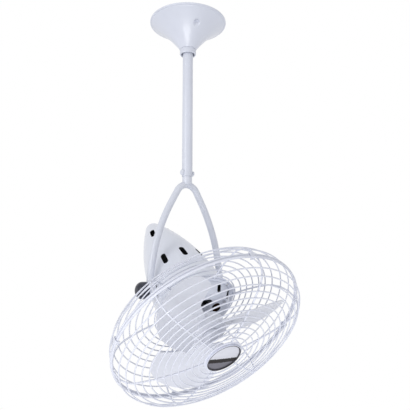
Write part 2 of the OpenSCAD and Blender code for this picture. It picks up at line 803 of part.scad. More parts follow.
module badge_screws() color("gray") on_head() badge_screw_places() {
    ring(badge_screw_d / 2, 0, badge_seat - guard_plate_t - 2 * gap - past, badge_seat + badge_t - 1 - gap);
    ring(badge_screw_d, 0, badge_seat - guard_plate_t - 2 * gap - 2, badge_seat - guard_plate_t - 2 * gap);
}

// The shaft's thick middle seats on the front bearing behind it and on the hub in front of it
module motor_shaft() color("silver") on_head() {
    ring(shaft_r, 0, rear_bearing_at - 2, hub_end + gap + spinner_l - 6);
    ring(shoulder_d / 2, 0, front_bearing_at + bearing_w + gap, hub_at - gap);
}

module rotor_core() color("gray") on_head() difference() {
    ring(rotor_r, shaft_r + pin_fit, stator_at, stator_at + stator_l);
    around(rotor_hole_n) translate([rotor_r * 0.55, 0, 0])
        ring(rotor_hole_r, 0, stator_at - past, stator_at + stator_l + past);
}

// The frame of one blade: X runs out along it, and its chord is turned to the blade's pitch
module blade_frame(i) {
    rotate([0, 0, blade_angle + 120 * i]) translate([0, 0, blade_at]) rotate([blade_pitch, 0, 0])
        children();
}

// Part of a curved sheet that is hollow in front, with its front face this far behind the blade's
module curved_sheet(t, behind, l) {
    rotate([90, 0, 90]) linear_extrude(l) intersection() {
        translate([0, camber_r]) difference() {
            circle(r = camber_r + behind + t, $fn = 240);
            circle(r = camber_r + behind, $fn = 240);
        }
        translate([-1.5 * petal_r, -petal_r / 2]) square([3 * petal_r, petal_r]);
    }
}

module rivet_holes() {
    for (x = rivet_at) translate([x, 0, 0]) ring(rivet_d / 2 + pin_fit, 0, -20, 20);
}

// Outline of a blade seen along the fan axis, with its tip on +X and its forward edge on +Y
module blade_outline() {
    difference() {
        union() {
            translate([petal_at, 0]) circle(r = petal_r);
            polygon([[root_at, -root_back], [petal_at - petal_r / 2, -petal_r * 0.85], [petal_at, 0],
                     [petal_at, petal_r], [petal_at - petal_r / 2, petal_r], [root_at, root_front]]);
        }
        circle(r = hub_r + gap);
        polygon([[root_at, -root_back], root_bend, root_notch, [petal_at - petal_r * 0.3, -petal_r - past],
                 [root_at, -petal_r - past]]);
    }
}

module blade(i) on_head() difference() {
    intersection() {
        blade_frame(i) curved_sheet(blade_t, 0, sweep_d);
        rotate([0, 0, blade_angle + 120 * i]) translate([0, 0, blade_at - petal_r])
            linear_extrude(2 * petal_r) blade_outline();
    }
    blade_frame(i) rivet_holes();
}

module blade_1() color("lavender") blade(0);
module blade_2() color("lavender") blade(1);
module blade_3() color("lavender") blade(2);

// The hub is a cup with a boss for the shaft, and carries one riveted arm behind each blade
module blade_spider() color("lavender") on_head() difference() {
    union() {
        ring(hub_r, hub_r - 5, hub_at, hub_end);
        ring(hub_r, 0, hub_end - 5, hub_end);
        ring(shaft_r + 8, 0, hub_at, hub_end);
        for (i = [0 : 2]) intersection() {
            blade_frame(i) curved_sheet(arm_t, blade_t + gap, sweep_d);
            rotate([0, 0, blade_angle + 120 * i]) translate([0, 0, blade_at - arm_w])
                linear_extrude(2 * arm_w) {
                    translate([hub_r - 2, -arm_w / 2]) square([arm_end - arm_w / 2 - hub_r + 2, arm_w]);
                    translate([arm_end - arm_w / 2, 0]) circle(d = arm_w);
                }
        }
    }
    ring(shaft_r + pin_fit, 0, hub_at - past, hub_end + past);
    for (i = [0 : 2]) blade_frame(i) rivet_holes();
}

module blade_rivets() color("gray") on_head() for (i = [0 : 2]) blade_frame(i)
    for (x = rivet_at) translate([x, 0, 0]) {
        rivet_foot = -blade_t - arm_t - 2 * gap;
        ring(rivet_d / 2, 0, rivet_foot - rivet_head_t, gap + rivet_head_t);
        ring(rivet_d * 0.9, 0, gap, gap + rivet_head_t);
        ring(rivet_d * 0.9, 0, rivet_foot - rivet_head_t, rivet_foot);
    }

module spinner_nut() color("gray") on_head() translate([0, 0, hub_end + gap]) difference() {
    crown(spinner_d, spinner_l, 10);
    ring(shaft_r + pin_fit, 0, -past, spinner_l - 6 + gap);
}

ceiling_bracket();
canopy();
canopy_collar();
canopy_screws();
hanger_ball();
hanger_pin();
terminal_block();
downrod();
yoke();
yoke_bolt();
yoke_nut();
rear_housing();
front_housing();
flange_screws();
flange_nuts();
tilt_bosses();
tilt_studs();
friction_washers();
tilt_cap();
stator_core();
stator_windings();
front_bearing();
rear_bearing();
bearing_plate();
motor_bolts();
capacitor();
capacitor_clamp();
rear_guard();
guard_clamp_ring();
front_guard();
guard_clips();
badge();
badge_bezel();
badge_screws();
motor_shaft();
rotor_core();
blade_spider();
blade_1();
blade_2();
blade_3();
blade_rivets();
spinner_nut();
tilt_knob();
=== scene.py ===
# Dressed model of the directional ceiling fan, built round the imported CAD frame.
# Shapes are given in millimetres and become metres when a mesh is made. Pieces of the tilting head
# are drawn along +Z from the tilt axis, as in part.scad, and HEAD turns them into place.
import json
import math

import bmesh
import bpy
from mathutils import Matrix, Vector, noise
from mathutils.geometry import delaunay_2d_cdt


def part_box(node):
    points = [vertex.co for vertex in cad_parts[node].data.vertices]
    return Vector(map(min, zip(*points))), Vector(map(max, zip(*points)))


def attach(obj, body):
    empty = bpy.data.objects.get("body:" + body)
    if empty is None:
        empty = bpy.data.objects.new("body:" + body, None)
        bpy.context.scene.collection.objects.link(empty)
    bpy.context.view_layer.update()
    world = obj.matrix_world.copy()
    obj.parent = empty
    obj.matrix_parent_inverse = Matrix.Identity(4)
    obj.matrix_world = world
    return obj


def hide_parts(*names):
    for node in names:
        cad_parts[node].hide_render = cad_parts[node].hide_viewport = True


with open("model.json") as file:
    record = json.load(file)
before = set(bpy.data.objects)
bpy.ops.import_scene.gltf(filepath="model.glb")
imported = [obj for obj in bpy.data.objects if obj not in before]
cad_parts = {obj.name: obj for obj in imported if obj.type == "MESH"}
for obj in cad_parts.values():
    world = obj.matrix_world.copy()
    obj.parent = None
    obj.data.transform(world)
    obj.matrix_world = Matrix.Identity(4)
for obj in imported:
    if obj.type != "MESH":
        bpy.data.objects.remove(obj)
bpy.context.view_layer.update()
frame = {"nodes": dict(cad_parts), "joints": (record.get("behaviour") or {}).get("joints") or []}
scene = bpy.context.scene

MM = 0.001
TAU = 2 * math.pi
GAP = 0.3

joints = {j["name"]: j for j in frame["joints"]}
PIVOT = Vector(joints["head_tilt"]["pos_m"])
FAN_AXIS = Vector(joints["fan_spin"]["axis"]).normalized()
HEAD = Matrix.Translation(PIVOT) @ Matrix((Vector((1, 0, 0)), FAN_AXIS.cross(Vector((1, 0, 0))),
                                           FAN_AXIS)).transposed().to_4x4()
UPRIGHT = Matrix.Translation(PIVOT)
AS_DRAWN = Matrix.Identity(4)
ALONG_X = Matrix.Rotation(math.radians(90), 4, "Y")
AGAINST_X = Matrix.Rotation(-math.pi / 2, 4, "Y")
BOX = {name: [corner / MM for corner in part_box(name)] for name in frame["nodes"]}


# Shape helpers

def polar(r, degrees, z=0):
    """The point at this radius and angle about Z."""
    a = math.radians(degrees)
    return Vector((r * math.cos(a), r * math.sin(a), z))


def turned(degrees, *move):
    """A shift, followed by a turn about Z."""
    return Matrix.Rotation(math.radians(degrees), 4, "Z") @ Matrix.Translation(move or (0, 0, 0))


def arc(centre, r, start, end, steps):
    """Points of an arc in a plane, angles in degrees."""
    return [(centre[0] + r * math.cos(math.radians(start + (end - start) * i / steps)),
             centre[1] + r * math.sin(math.radians(start + (end - start) * i / steps)))
            for i in range(steps + 1)]


def rounded(corners, steps=4):
    """An outline whose corners (x, y, radius) are rounded. A corner with radius 0 stays sharp, as
    both ends of an open outline have to."""
    points = []
    for i, (x, y, r) in enumerate(corners):
        here = Vector((x, y))
        before = Vector(corners[i - 1][:2]) - here
        after = Vector(corners[(i + 1) % len(corners)][:2]) - here
        if r <= 0:
            points.append((x, y))
            continue
        half = before.angle(after) / 2
        cut = min(r / math.tan(half), before.length * 0.49, after.length * 0.49)
        a, b = here + before.normalized() * cut, here + after.normalized() * cut
        for k in range(steps + 1):
            t = k / steps
            points.append(tuple((1 - t) ** 2 * a + 2 * t * (1 - t) * here + t * t * b))
    return points


def lathe(bm, profile, segments=96, closed=True, shape=None):
    """Turns a profile of (radius, height) about Z; shape(r, angle, z) may move each point."""
    rings = []
    for r, z in profile:
        count = 1 if r < 1e-6 else segments
        ring = []
        for i in range(count):
            a = TAU * i / segments
            point = Vector((r * math.cos(a), r * math.sin(a), z))
            ring.append(bm.verts.new(shape(r, a, z) if shape else point))
        rings.append(ring)
    for a, b in zip(rings, rings[1:] + (rings[:1] if closed else [])):
        if len(a) == len(b) == 1:
            continue
        for i in range(segments):
            j = (i + 1) % segments
            corners = []
            for v in (a[i % len(a)], a[j % len(a)], b[j % len(b)], b[i % len(b)]):
                if v not in corners:
                    corners.append(v)
            bm.faces.new(corners)


def sweep(bm, path, radius, segments=12, closed=False):
    """Round wire along a path; radius is a number or one value for each point."""
    path = [Vector(p) for p in path]
    count = len(path)
    rings, side = [], None
    for i, p in enumerate(path):
        ahead = path[(i + 1) % count] if closed or i < count - 1 else p
        behind = path[i - 1] if closed or i else p
        along = (ahead - behind).normalized()
        if side is None:
            side = along.orthogonal().normalized()
        side = (side - along * side.dot(along)).normalized()
        other = along.cross(side)
        r = radius[i] if hasattr(radius, "__len__") else radius
        rings.append([bm.verts.new(p + (side * math.cos(TAU * k / segments)
                                        + other * math.sin(TAU * k / segments)) * r)
                      for k in range(segments)])
    shift = 0
    if closed:
        shift = min(range(segments), key=lambda k: (rings[0][k].co - rings[-1][0].co).length)
    for i in range(count if closed else count - 1):
        a, b = rings[i], rings[(i + 1) % count]
        s = shift if i == count - 1 else 0
        for k in range(segments):
            bm.faces.new((a[k], a[(k + 1) % segments],
                          b[(k + 1 + s) % segments], b[(k + s) % segments]))
    if not closed:
        bm.faces.new(reversed(rings[0]))
        bm.faces.new(rings[-1])


def move(bm, start, matrix):
    """Moves the vertices made since there were this many."""
    bm.verts.ensure_lookup_table()
    bmesh.ops.transform(bm, matrix=matrix, verts=bm.verts[start:])


def piece(name, bm, body, material, replaces=(), matrix=HEAD, sharp=40):
    """Turns a mesh drawn in millimetres into a placed piece that rides on a body."""
    bmesh.ops.transform(bm, matrix=Matrix.Scale(MM, 4), verts=bm.verts)
    bmesh.ops.transform(bm, matrix=matrix, verts=bm.verts)
    bmesh.ops.recalc_face_normals(bm, faces=bm.faces)
    mesh = bpy.data.meshes.new(name)
    bm.to_mesh(mesh)
    bm.free()
    mesh.shade_smooth()
    mesh.set_sharp_from_angle(angle=math.radians(sharp))
    obj = bpy.data.objects.new(name, mesh)
    scene.collection.objects.link(obj)
    for m in material if isinstance(material, (list, tuple)) else [material]:
        mesh.materials.append(m)
    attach(obj, body)
    if replaces:
        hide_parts(*replaces)
    return obj


# Materials: every one varies in tone and gloss, and has the grain of its surface

CLOUD_DETAIL, GRAIN_DETAIL = 4, 2
RAMP_ENDS = (0.3, 0.7)
GLOSS_SPREAD = 0.15
GRAIN_DEPTH = 0.0004


def surface(name, colour, roughness, metallic=0.0, tone=0.04, tone_scale=30.0, grain=0.05,
            grain_scale=900.0, stretch=(1, 1, 1), coat=0.0):
    """A finish: tone is how far its colour varies, grain how strong its fine bumps are."""
    mat = bpy.data.materials.new(name)
    mat.use_nodes = True
    nodes, links = mat.node_tree.nodes, mat.node_tree.links
    bsdf = nodes["Principled BSDF"]
    bsdf.inputs["Metallic"].default_value = metallic
    bsdf.inputs["Coat Weight"].default_value = coat
    place = nodes.new("ShaderNodeTexCoord")
    mapping = nodes.new("ShaderNodeMapping")
    mapping.inputs["Scale"].default_value = stretch
    links.new(place.outputs["Object"], mapping.inputs["Vector"])

    cloud = nodes.new("ShaderNodeTexNoise")
    cloud.inputs["Scale"].default_value = tone_scale
    cloud.inputs["Detail"].default_value = CLOUD_DETAIL
    links.new(mapping.outputs["Vector"], cloud.inputs["Vector"])
    ramp = nodes.new("ShaderNodeValToRGB")
    darker, lighter = ramp.color_ramp.elements
    darker.position, lighter.position = RAMP_ENDS
    darker.color = (*[c * (1 - tone) for c in colour], 1)
    lighter.color = (*[min(1, c * (1 + tone)) for c in colour], 1)
    links.new(cloud.outputs["Fac"], ramp.inputs["Fac"])
    links.new(ramp.outputs["Color"], bsdf.inputs["Base Color"])

    gloss = nodes.new("ShaderNodeMapRange")
    gloss.inputs["To Min"].default_value = roughness * (1 - GLOSS_SPREAD)
    gloss.inputs["To Max"].default_value = min(1, roughness * (1 + GLOSS_SPREAD))
    links.new(cloud.outputs["Fac"], gloss.inputs["Value"])
    links.new(gloss.outputs["Result"], bsdf.inputs["Roughness"])

    fine = nodes.new("ShaderNodeTexNoise")
    fine.inputs["Scale"].default_value = grain_scale
    fine.inputs["Detail"].default_value = GRAIN_DETAIL
    links.new(mapping.outputs["Vector"], fine.inputs["Vector"])
    bump = nodes.new("ShaderNodeBump")
    bump.inputs["Strength"].default_value = grain
    bump.inputs["Distance"].default_value = GRAIN_DEPTH
    links.new(fine.outputs["Fac"], bump.inputs["Height"])
    links.new(bump.outputs["Normal"], bsdf.inputs["Normal"])
    return mat


# One white enamel; the rod and bell take a darker copy of it, painted shade, and the rear housing a
# lighter copy, painted light
ENAMEL = dict(roughness=0.32, tone=0.015, tone_scale=14, grain=0.06, coat=0.25)
paint = surface("white_paint", (0.74, 0.765, 0.845), **ENAMEL)
rod_paint_painted_shade = surface("rod_paint_painted_shade", (0.70, 0.725, 0.81), **ENAMEL)
housing_paint_painted_light = surface("housing_paint_painted_light", (0.80, 0.825, 0.90), **ENAMEL)
guard_paint = surface("guard_paint", (0.75, 0.77, 0.855), 0.35, tone=0.03, tone_scale=60,
                      grain=0.10, grain_scale=1400, coat=0.2)
blade_paint = surface("blade_paint", (0.77, 0.785, 0.845), 0.36, tone=0.02, tone_scale=18,
                      grain=0.05, coat=0.15)
# The housings' inner faces: a dark primer, made near black as painted shade
inner_primer_and_painted_shade = surface("dark_primer_and_painted_shade", (0.05, 0.05, 0.055), 0.7, tone=0.2, tone_scale=50,
                      grain=0.3)
galvanised = surface("galvanised_steel", (0.56, 0.57, 0.60), 0.42, metallic=0.9, tone=0.12,
                     tone_scale=260, grain=0.08)
bright_steel = surface("bright_steel", (0.60, 0.60, 0.62), 0.28, metallic=1.0, tone=0.05,
                       tone_scale=120, grain=0.10, grain_scale=700, stretch=(1, 1, 0.1))
laminations = surface("laminations", (0.20, 0.21, 0.23), 0.5, metallic=0.8, tone=0.25,
                      tone_scale=40, grain=0.5, grain_scale=500, stretch=(0.2, 1, 1))
copper = surface("copper_winding", (0.16, 0.065, 0.03), 0.5, metallic=0.7, tone=0.15,
                 tone_scale=200, grain=0.2)
knob_plastic = surface("knob_plastic", (0.008, 0.011, 0.028), 0.30, tone=0.15, tone_scale=90,
                       grain=0.25, grain_scale=2200)
nylon = surface("ball_nylon", (0.02, 0.02, 0.022), 0.5, tone=0.2, tone_scale=70, grain=0.2)
fibre = surface("washer_fibre", (0.035, 0.032, 0.032), 0.85, tone=0.3, tone_scale=300, grain=0.6)
terminal = surface("terminal_plastic", (0.72, 0.69, 0.60), 0.45, tone=0.05, tone_scale=60,
                   grain=0.1)
case = surface("capacitor_case", (0.60, 0.60, 0.60), 0.3, tone=0.04, tone_scale=40, grain=0.05)
badge_metal = surface("badge_metal", (0.76, 0.77, 0.84), 0.30, metallic=0.2, tone=0.06,
                      tone_scale=60, grain=0.10, grain_scale=800, stretch=(0.15, 1, 1), coat=0.3)
badge_dark = surface("badge_dark", (0.16, 0.155, 0.19), 0.30, metallic=0.2, tone=0.12,
                     tone_scale=60, grain=0.08, coat=0.4)
badge_band = surface("badge_band", (0.012, 0.009, 0.010), 0.7, tone=0.5, tone_scale=420,
                     grain=0.08)
groove_shade = surface("groove_shade", (0.055, 0.052, 0.060), 0.6, tone=0.2, tone_scale=200,
                       grain=0.08)
bezel_paint = surface("bezel_paint", (0.74, 0.76, 0.86), 0.35, tone=0.03, tone_scale=60,
                      grain=0.08)

# The CAD nodes that stay get a finish of their own
CAD_MATERIALS = {
    galvanised: ["ceiling_bracket", "bearing_plate", "capacitor_clamp"],
    bright_steel: ["hanger_pin", "flange_nuts", "tilt_studs", "front_bearing", "rear_bearing",
                   "motor_bolts", "motor_shaft", "badge_screws"],
    nylon: ["hanger_ball"],
    terminal: ["terminal_block"],
    # The rod and its nut take the darker enamel, painted shade
    rod_paint_painted_shade: ["downrod", "yoke_nut"],
    fibre: ["friction_washers"],
    laminations: ["stator_core", "rotor_core"],
    case: ["capacitor"]}
for mat, names in CAD_MATERIALS.items():
    for name in names:
        data = frame["nodes"][name].data
        data.materials.clear()
        data.materials.append(mat)


# Canopy: a hollow-curved bell with a rolled lip, dimpled where its two screws are

CANOPY_R = BOX["canopy"][1].x
CANOPY_H = -BOX["canopy"][0].z
CANOPY_WALL = 1.2
LIP_H = 4
NECK_R = 21.3
BELL_R = 240
SCREW_AZIMUTH = -102.5
SCREW_OUT = 62
DIMPLE_R, DIMPLE_EDGE = 5, 3
DIMPLE_Z = -22 - CANOPY_WALL
DIMPLE_REACH = (-45, -10)
BELL_STEPS = 48


def bell_points(wall):
    """The bell's curve from lip to neck, drawn in by the wall."""
    lip, neck = Vector((CANOPY_R - 2, -LIP_H)), Vector((NECK_R, -CANOPY_H))
    chord = lip - neck
    middle = (lip + neck) / 2
    to_centre = math.sqrt(BELL_R ** 2 - chord.length_squared / 4)
    centre = middle + Vector((chord.y, -chord.x)).normalized() * to_centre
    radius = BELL_R + wall
    points = []
    for i in range(BELL_STEPS + 1):
        z = -LIP_H - 1 + (1 + LIP_H - CANOPY_H) * i / BELL_STEPS
        points.append((centre.x - math.sqrt(radius ** 2 - (z - centre.y) ** 2), z))
    return points


def dimple(r, a, z):
    """Presses a flat-bottomed dimple round each canopy screw."""
    point = Vector((r * math.cos(a), r * math.sin(a), z))
    for turn in (0, 180):
        d = (point.xy - polar(SCREW_OUT, SCREW_AZIMUTH + turn).xy).length
        blend = min(1, max(0, (DIMPLE_R + DIMPLE_EDGE - d) / DIMPLE_EDGE))
        blend = blend * blend * (3 - 2 * blend)
        if blend and DIMPLE_REACH[0] < z < DIMPLE_REACH[1]:
            wall = CANOPY_WALL if (r, z) in inner_bell else 0
            point.z = point.z * (1 - blend) + (DIMPLE_Z + wall) * blend
    return point


outer_bell = bell_points(0)
inner_bell = list(reversed(bell_points(CANOPY_WALL)))
lip_roll = rounded([(CANOPY_R - CANOPY_WALL - 1, -LIP_H, 0),
                    (CANOPY_R - CANOPY_WALL - 0.5, 0, 0.5), (CANOPY_R, 0, 1.6),
                    (CANOPY_R, -LIP_H, 1.4), (outer_bell[0][0], -LIP_H - 0.6, 0)], 5)
bm = bmesh.new()
lathe(bm, outer_bell + inner_bell + lip_roll, 224, shape=dimple)
# The bell takes the darker enamel, painted shade, as do its collar and screws
piece("canopy_bell", bm, "mount", rod_paint_painted_shade, ["canopy"], AS_DRAWN, sharp=60)

# The collar ring under the bell has soft edges
COLLAR_TOP, COLLAR_FOOT = BOX["canopy_collar"][1].z, BOX["canopy_collar"][0].z
COLLAR_R = BOX["canopy_collar"][1].x
COLLAR_WALL = 3.6
COLLAR_BORE = COLLAR_R - COLLAR_WALL
bm = bmesh.new()
lathe(bm, rounded([(COLLAR_BORE, COLLAR_TOP, 0.6), (COLLAR_R, COLLAR_TOP, 1.2),
                   (COLLAR_R, COLLAR_FOOT, 2.2), (COLLAR_BORE, COLLAR_FOOT, 0.8)]), 96)
piece("collar_ring", bm, "mount", rod_paint_painted_shade, ["canopy_collar"], AS_DRAWN)


# Screws are given as head radius, head height and shank radius, the recess as shares of the head
CANOPY_SCREW, FLANGE_SCREW = (3.4, 2.8, 2), (3, 2.4, 1.5)
CROSS_HALF_WIDTH, CROSS_ARM, CROSS_DEPTH = 0.16, 0.55, 0.5
CROWN_STEPS, CROWN_FALL = 10, 0.8


def pan_head(bm, radius, height, shank_r, shank_l, where):
    """A screw with a domed head and a cross recess; the head stands on z = 0 and faces +Z."""
    start = len(bm.verts)
    recess, arm = CROSS_HALF_WIDTH * radius, CROSS_ARM * radius

    def press(r, a, z):
        x, y = r * math.cos(a), r * math.sin(a)
        cross = (abs(x) < recess and abs(y) < arm) or (abs(y) < recess and abs(x) < arm)
        return Vector((x, y, z - (CROSS_DEPTH * height if cross and z > 0 else 0)))

    crown = [(radius * k / CROWN_STEPS, height * math.sqrt(1 - CROWN_FALL * (k / CROWN_STEPS) ** 2))
             for k in range(CROWN_STEPS, -1, -1)]
    lathe(bm, [(0, -shank_l), (shank_r, -shank_l), (shank_r, 0), (radius, 0)] + crown, 32,
          closed=False, shape=press)
    move(bm, start, where)


bm = bmesh.new()
canopy_screw_z = DIMPLE_Z - GAP
for turn in (0, 180):
    spot = Matrix.Translation(polar(SCREW_OUT, SCREW_AZIMUTH + turn, canopy_screw_z))
    pan_head(bm, *CANOPY_SCREW, -canopy_screw_z, spot @ Matrix.Rotation(math.pi, 4, "X"))
piece("canopy_pan_screws", bm, "mount", rod_paint_painted_shade, ["canopy_screws"], AS_DRAWN)


# Yoke: one bent tube with an eye welded to each end and a stem welded to its top

YOKE_HALF = 102
TUBE_R = 8.5
BOW_R = 435
BOW_START, BOW_ANGLE = 0.4, 30
APEX_R = 32
EYE_R, EYE_T = 17, 18
STUD_R = 5.05
STEM_R, STEM_WALL = 10.9, 2.4
STEM_FOOT_R = 12.35
ROD_END = BOX["downrod"][0].z - PIVOT.z / MM
STEM_TOP = ROD_END + 60
bow = math.radians(BOW_ANGLE)
bow_in = BOW_R * (1 - math.cos(bow))
bow_top = BOW_R * math.sin(bow)
straight = (YOKE_HALF - bow_in - APEX_R * math.cos(bow)) / math.sin(bow)
apex_h = bow_top + straight * math.cos(bow) + APEX_R * (1 - math.sin(bow))

right_arm = arc((YOKE_HALF - BOW_R, 0), BOW_R, BOW_START, BOW_ANGLE, 40)
top_bend = arc((0, apex_h - APEX_R), APEX_R, BOW_ANGLE, 180 - BOW_ANGLE, 32)
line = right_arm + top_bend + [(-x, z) for x, z in reversed(right_arm)]
bm = bmesh.new()
sweep(bm, [(x, 0, z) for x, z in line], TUBE_R, 40)
for side in (-1, 1):
    start = len(bm.verts)
    lathe(bm, rounded([(STUD_R, -EYE_T / 2, 0.4), (EYE_R, -EYE_T / 2, 1.2), (EYE_R, EYE_T / 2, 1.2),
                       (STUD_R, EYE_T / 2, 0.4)]), 72)
    move(bm, start, Matrix.Translation((side * YOKE_HALF, 0, 0)) @ ALONG_X)
stem_bore = STEM_R - STEM_WALL
lathe(bm, rounded([(stem_bore, apex_h + TUBE_R, 0), (stem_bore, STEM_TOP, 0.4),
                   (STEM_R, STEM_TOP, 0.6), (STEM_R, ROD_END - GAP, 0),
                   (STEM_FOOT_R, ROD_END - GAP, 0.8), (STEM_FOOT_R, apex_h, 1.0),
                   (stem_bore, apex_h, 0)]), 72)
piece("yoke_tube", bm, "mount", paint, ["yoke"], UPRIGHT)


BEAD_R = 1.0
RIPPLE, RIPPLE_STEP = 0.14, 1.9
WANDER, WANDER_STEP = 0.12, 0.31
EYE_BEAD_POINTS, STEM_BEAD_POINTS = 56, 72
EYE_BEAD_SHARE, STEM_BEAD_SHARE = 0.985, 0.99


def weld_bead(bm, path, seed):
    """A rippled bead of weld metal round a closed path."""
    radii = [BEAD_R * (1 + RIPPLE * math.sin(i * RIPPLE_STEP)
                       + WANDER * noise.noise(Vector((i * WANDER_STEP, seed, 0))))
             for i in range(len(path))]
    sweep(bm, path, radii, 10, closed=True)


bm = bmesh.new()
eye_turns = [TAU * i / EYE_BEAD_POINTS for i in range(EYE_BEAD_POINTS)]
for side in (-1, 1):
    weld_bead(bm, [(side * (YOKE_HALF - 0.1) + (TUBE_R + 0.1) * EYE_BEAD_SHARE * math.cos(a),
                    TUBE_R * math.sin(a), math.sqrt(EYE_R ** 2 - (TUBE_R * math.sin(a)) ** 2))
                   for a in eye_turns], side)
saddle = []
for i in range(STEM_BEAD_POINTS):
    a = TAU * i / STEM_BEAD_POINTS
    x, y = STEM_FOOT_R * math.cos(a), STEM_FOOT_R * math.sin(a)
    on_tube = max(0, TUBE_R ** 2 - y * y) ** 0.5
    top = math.sqrt((APEX_R + on_tube) ** 2 - x * x) - APEX_R
    saddle.append((x * STEM_BEAD_SHARE, y * STEM_BEAD_SHARE, apex_h + max(0.6, top)))
weld_bead(bm, saddle, 5)
piece("yoke_welds", bm, "mount", paint, matrix=UPRIGHT, sharp=70)

# The cross bolt has a hexagon head with chamfered corners
ROD_R = BOX["downrod"][1].x
bolt_z = (BOX["yoke_bolt"][0].z + BOX["yoke_bolt"][1].z) / 2
BOLT_HEAD_R, BOLT_HEAD_T, BOLT_CHAMFER, BOLT_R = 7.4, 4, 0.8, 3


def hex_shape(r, a, z):
    """Cuts a round profile back to a hexagon wherever it passes the flats."""
    flat = BOLT_HEAD_R * math.cos(math.pi / 6) / math.cos((a % (math.pi / 3)) - math.pi / 6)
    return Vector((min(r, flat) * math.cos(a), min(r, flat) * math.sin(a), z))


bm = bmesh.new()
bolt_end = BOX["yoke_bolt"][1].x + ROD_R + GAP
lathe(bm, rounded([(0, -bolt_end, 0), (BOLT_R, -bolt_end, 0.6), (BOLT_R, 0, 0),
                   (BOLT_HEAD_R, 0, 0), (BOLT_HEAD_R, BOLT_HEAD_T - BOLT_CHAMFER, 0),
                   (BOLT_HEAD_R - 1.4, BOLT_HEAD_T, 0), (0, BOLT_HEAD_T, 0)]),
      72, closed=False, shape=hex_shape)
piece("cross_bolt", bm, "mount", paint, ["yoke_bolt"],
      Matrix.Translation((-(ROD_R + GAP) * MM, 0, bolt_z * MM)) @ AGAINST_X, sharp=30)


# Motor housing: a long dome with a rounded tail, pierced by two rows of slots

HOUSING_R = 88
WIDEST = 40
TAIL = 251
TIP_R = 22
HOUSING_FRONT = 52
WALL = 1.6
FLANGE_R, FLANGE_T = 96, 2.5
FRONT_FROM = HOUSING_FRONT + GAP
FRONT_END = FRONT_FROM + 30
BOSS_R, BOSS_SIDES = 14, 48
BOSS_CUT_AT, BOSS_CUT_L = 70, 30
SLOT_L, SLOT_W = 35, 13
SLOT_START = 140
SLOT_ROWS = ((10, -55, HOUSING_R / 2), (5, -180, TIP_R))
FLANGE_SCREWS, FLANGE_SCREW_START, FLANGE_SCREW_R = 6, 58, HOUSING_R + 4
FLANGE_HOLE_R = 1.55
HOLE_DEPTH = 8
DRILLED_SHARP = 32
tip_at = TIP_R - TAIL
dome_r = (HOUSING_R ** 2 + (WIDEST - tip_at) ** 2 - TIP_R ** 2) / (2 * (HOUSING_R - TIP_R))
dome_c = Vector((HOUSING_R - dome_r, WIDEST))
tip_angle = math.degrees(math.atan2(tip_at - WIDEST, -dome_c.x))


def dome_curve(wall):
    """From the open front back to the tip."""
    front_angle = math.degrees(math.asin((HOUSING_FRONT - WIDEST) / dome_r))
    return (arc(dome_c, dome_r - wall, front_angle, tip_angle, 72)
            + arc((0, tip_at), TIP_R - wall, tip_angle, -90, 16)[1:])


def drill(target, cutter_bm, name):
    """Cuts the target, a piece of the head, with a cutter mesh drawn in millimetres."""
    bmesh.ops.transform(cutter_bm, matrix=HEAD @ Matrix.Scale(MM, 4), verts=cutter_bm.verts)
    bmesh.ops.recalc_face_normals(cutter_bm, faces=cutter_bm.faces)
    mesh = bpy.data.meshes.new(name)
    cutter_bm.to_mesh(mesh)
    cutter_bm.free()
    cutter = bpy.data.objects.new(name, mesh)
    scene.collection.objects.link(cutter)
    cut = target.modifiers.new("cut", "BOOLEAN")
    cut.operation, cut.object, cut.solver = "DIFFERENCE", cutter, "EXACT"
    depsgraph = bpy.context.evaluated_depsgraph_get()
    result = bpy.data.meshes.new_from_object(target.evaluated_get(depsgraph))
    target.modifiers.clear()
    target.data = result
    bpy.data.objects.remove(cutter)
    result.shade_smooth()
    result.set_sharp_from_angle(angle=math.radians(DRILLED_SHARP))


def prism(bm, outline, depth, where):
    """A straight solid of this outline, from z = 0 to its depth."""
    start = len(bm.verts)
    low = [bm.verts.new((x, y, 0)) for x, y in outline]
    high = [bm.verts.new((x, y, depth)) for x, y in outline]
    bm.faces.new(reversed(low))
    bm.faces.new(high)
    for i in range(len(outline)):
        j = (i + 1) % len(outline)
        bm.faces.new((low[i], low[j], high[j], high[i]))
    move(bm, start, where)


def slot_outline(length, width):
    """A slot with round ends, along X."""
    half = (length - width) / 2
    return arc((half, 0), width / 2, -90, 90, 10) + arc((-half, 0), width / 2, 90, 270, 10)


def hole_outline(r, sides=24):
    """A round hole."""
    return arc((0, 0), r, 0, 360 * (sides - 1) / sides, sides - 1)


def at_flange_screw(i, z):
    """The place of one screw of the flanges, at this height."""
    return turned(FLANGE_SCREW_START + 60 * i, FLANGE_SCREW_R, 0, z)


outer, inner = dome_curve(0), dome_curve(WALL)
bm = bmesh.new()
lathe(bm, list(reversed(inner)) + [(HOUSING_R - WALL - 0.5, HOUSING_FRONT)]
      + rounded([(FLANGE_R - 3, HOUSING_FRONT, 0), (FLANGE_R, HOUSING_FRONT, 0.5),
                 (FLANGE_R, HOUSING_FRONT - FLANGE_T, 1.0),
                 (FLANGE_R - 4, HOUSING_FRONT - FLANGE_T, 0),
                 (HOUSING_R + 0.2, HOUSING_FRONT - FLANGE_T, 0.8), (*outer[2], 0)])
      + outer[3:], 160, closed=False)
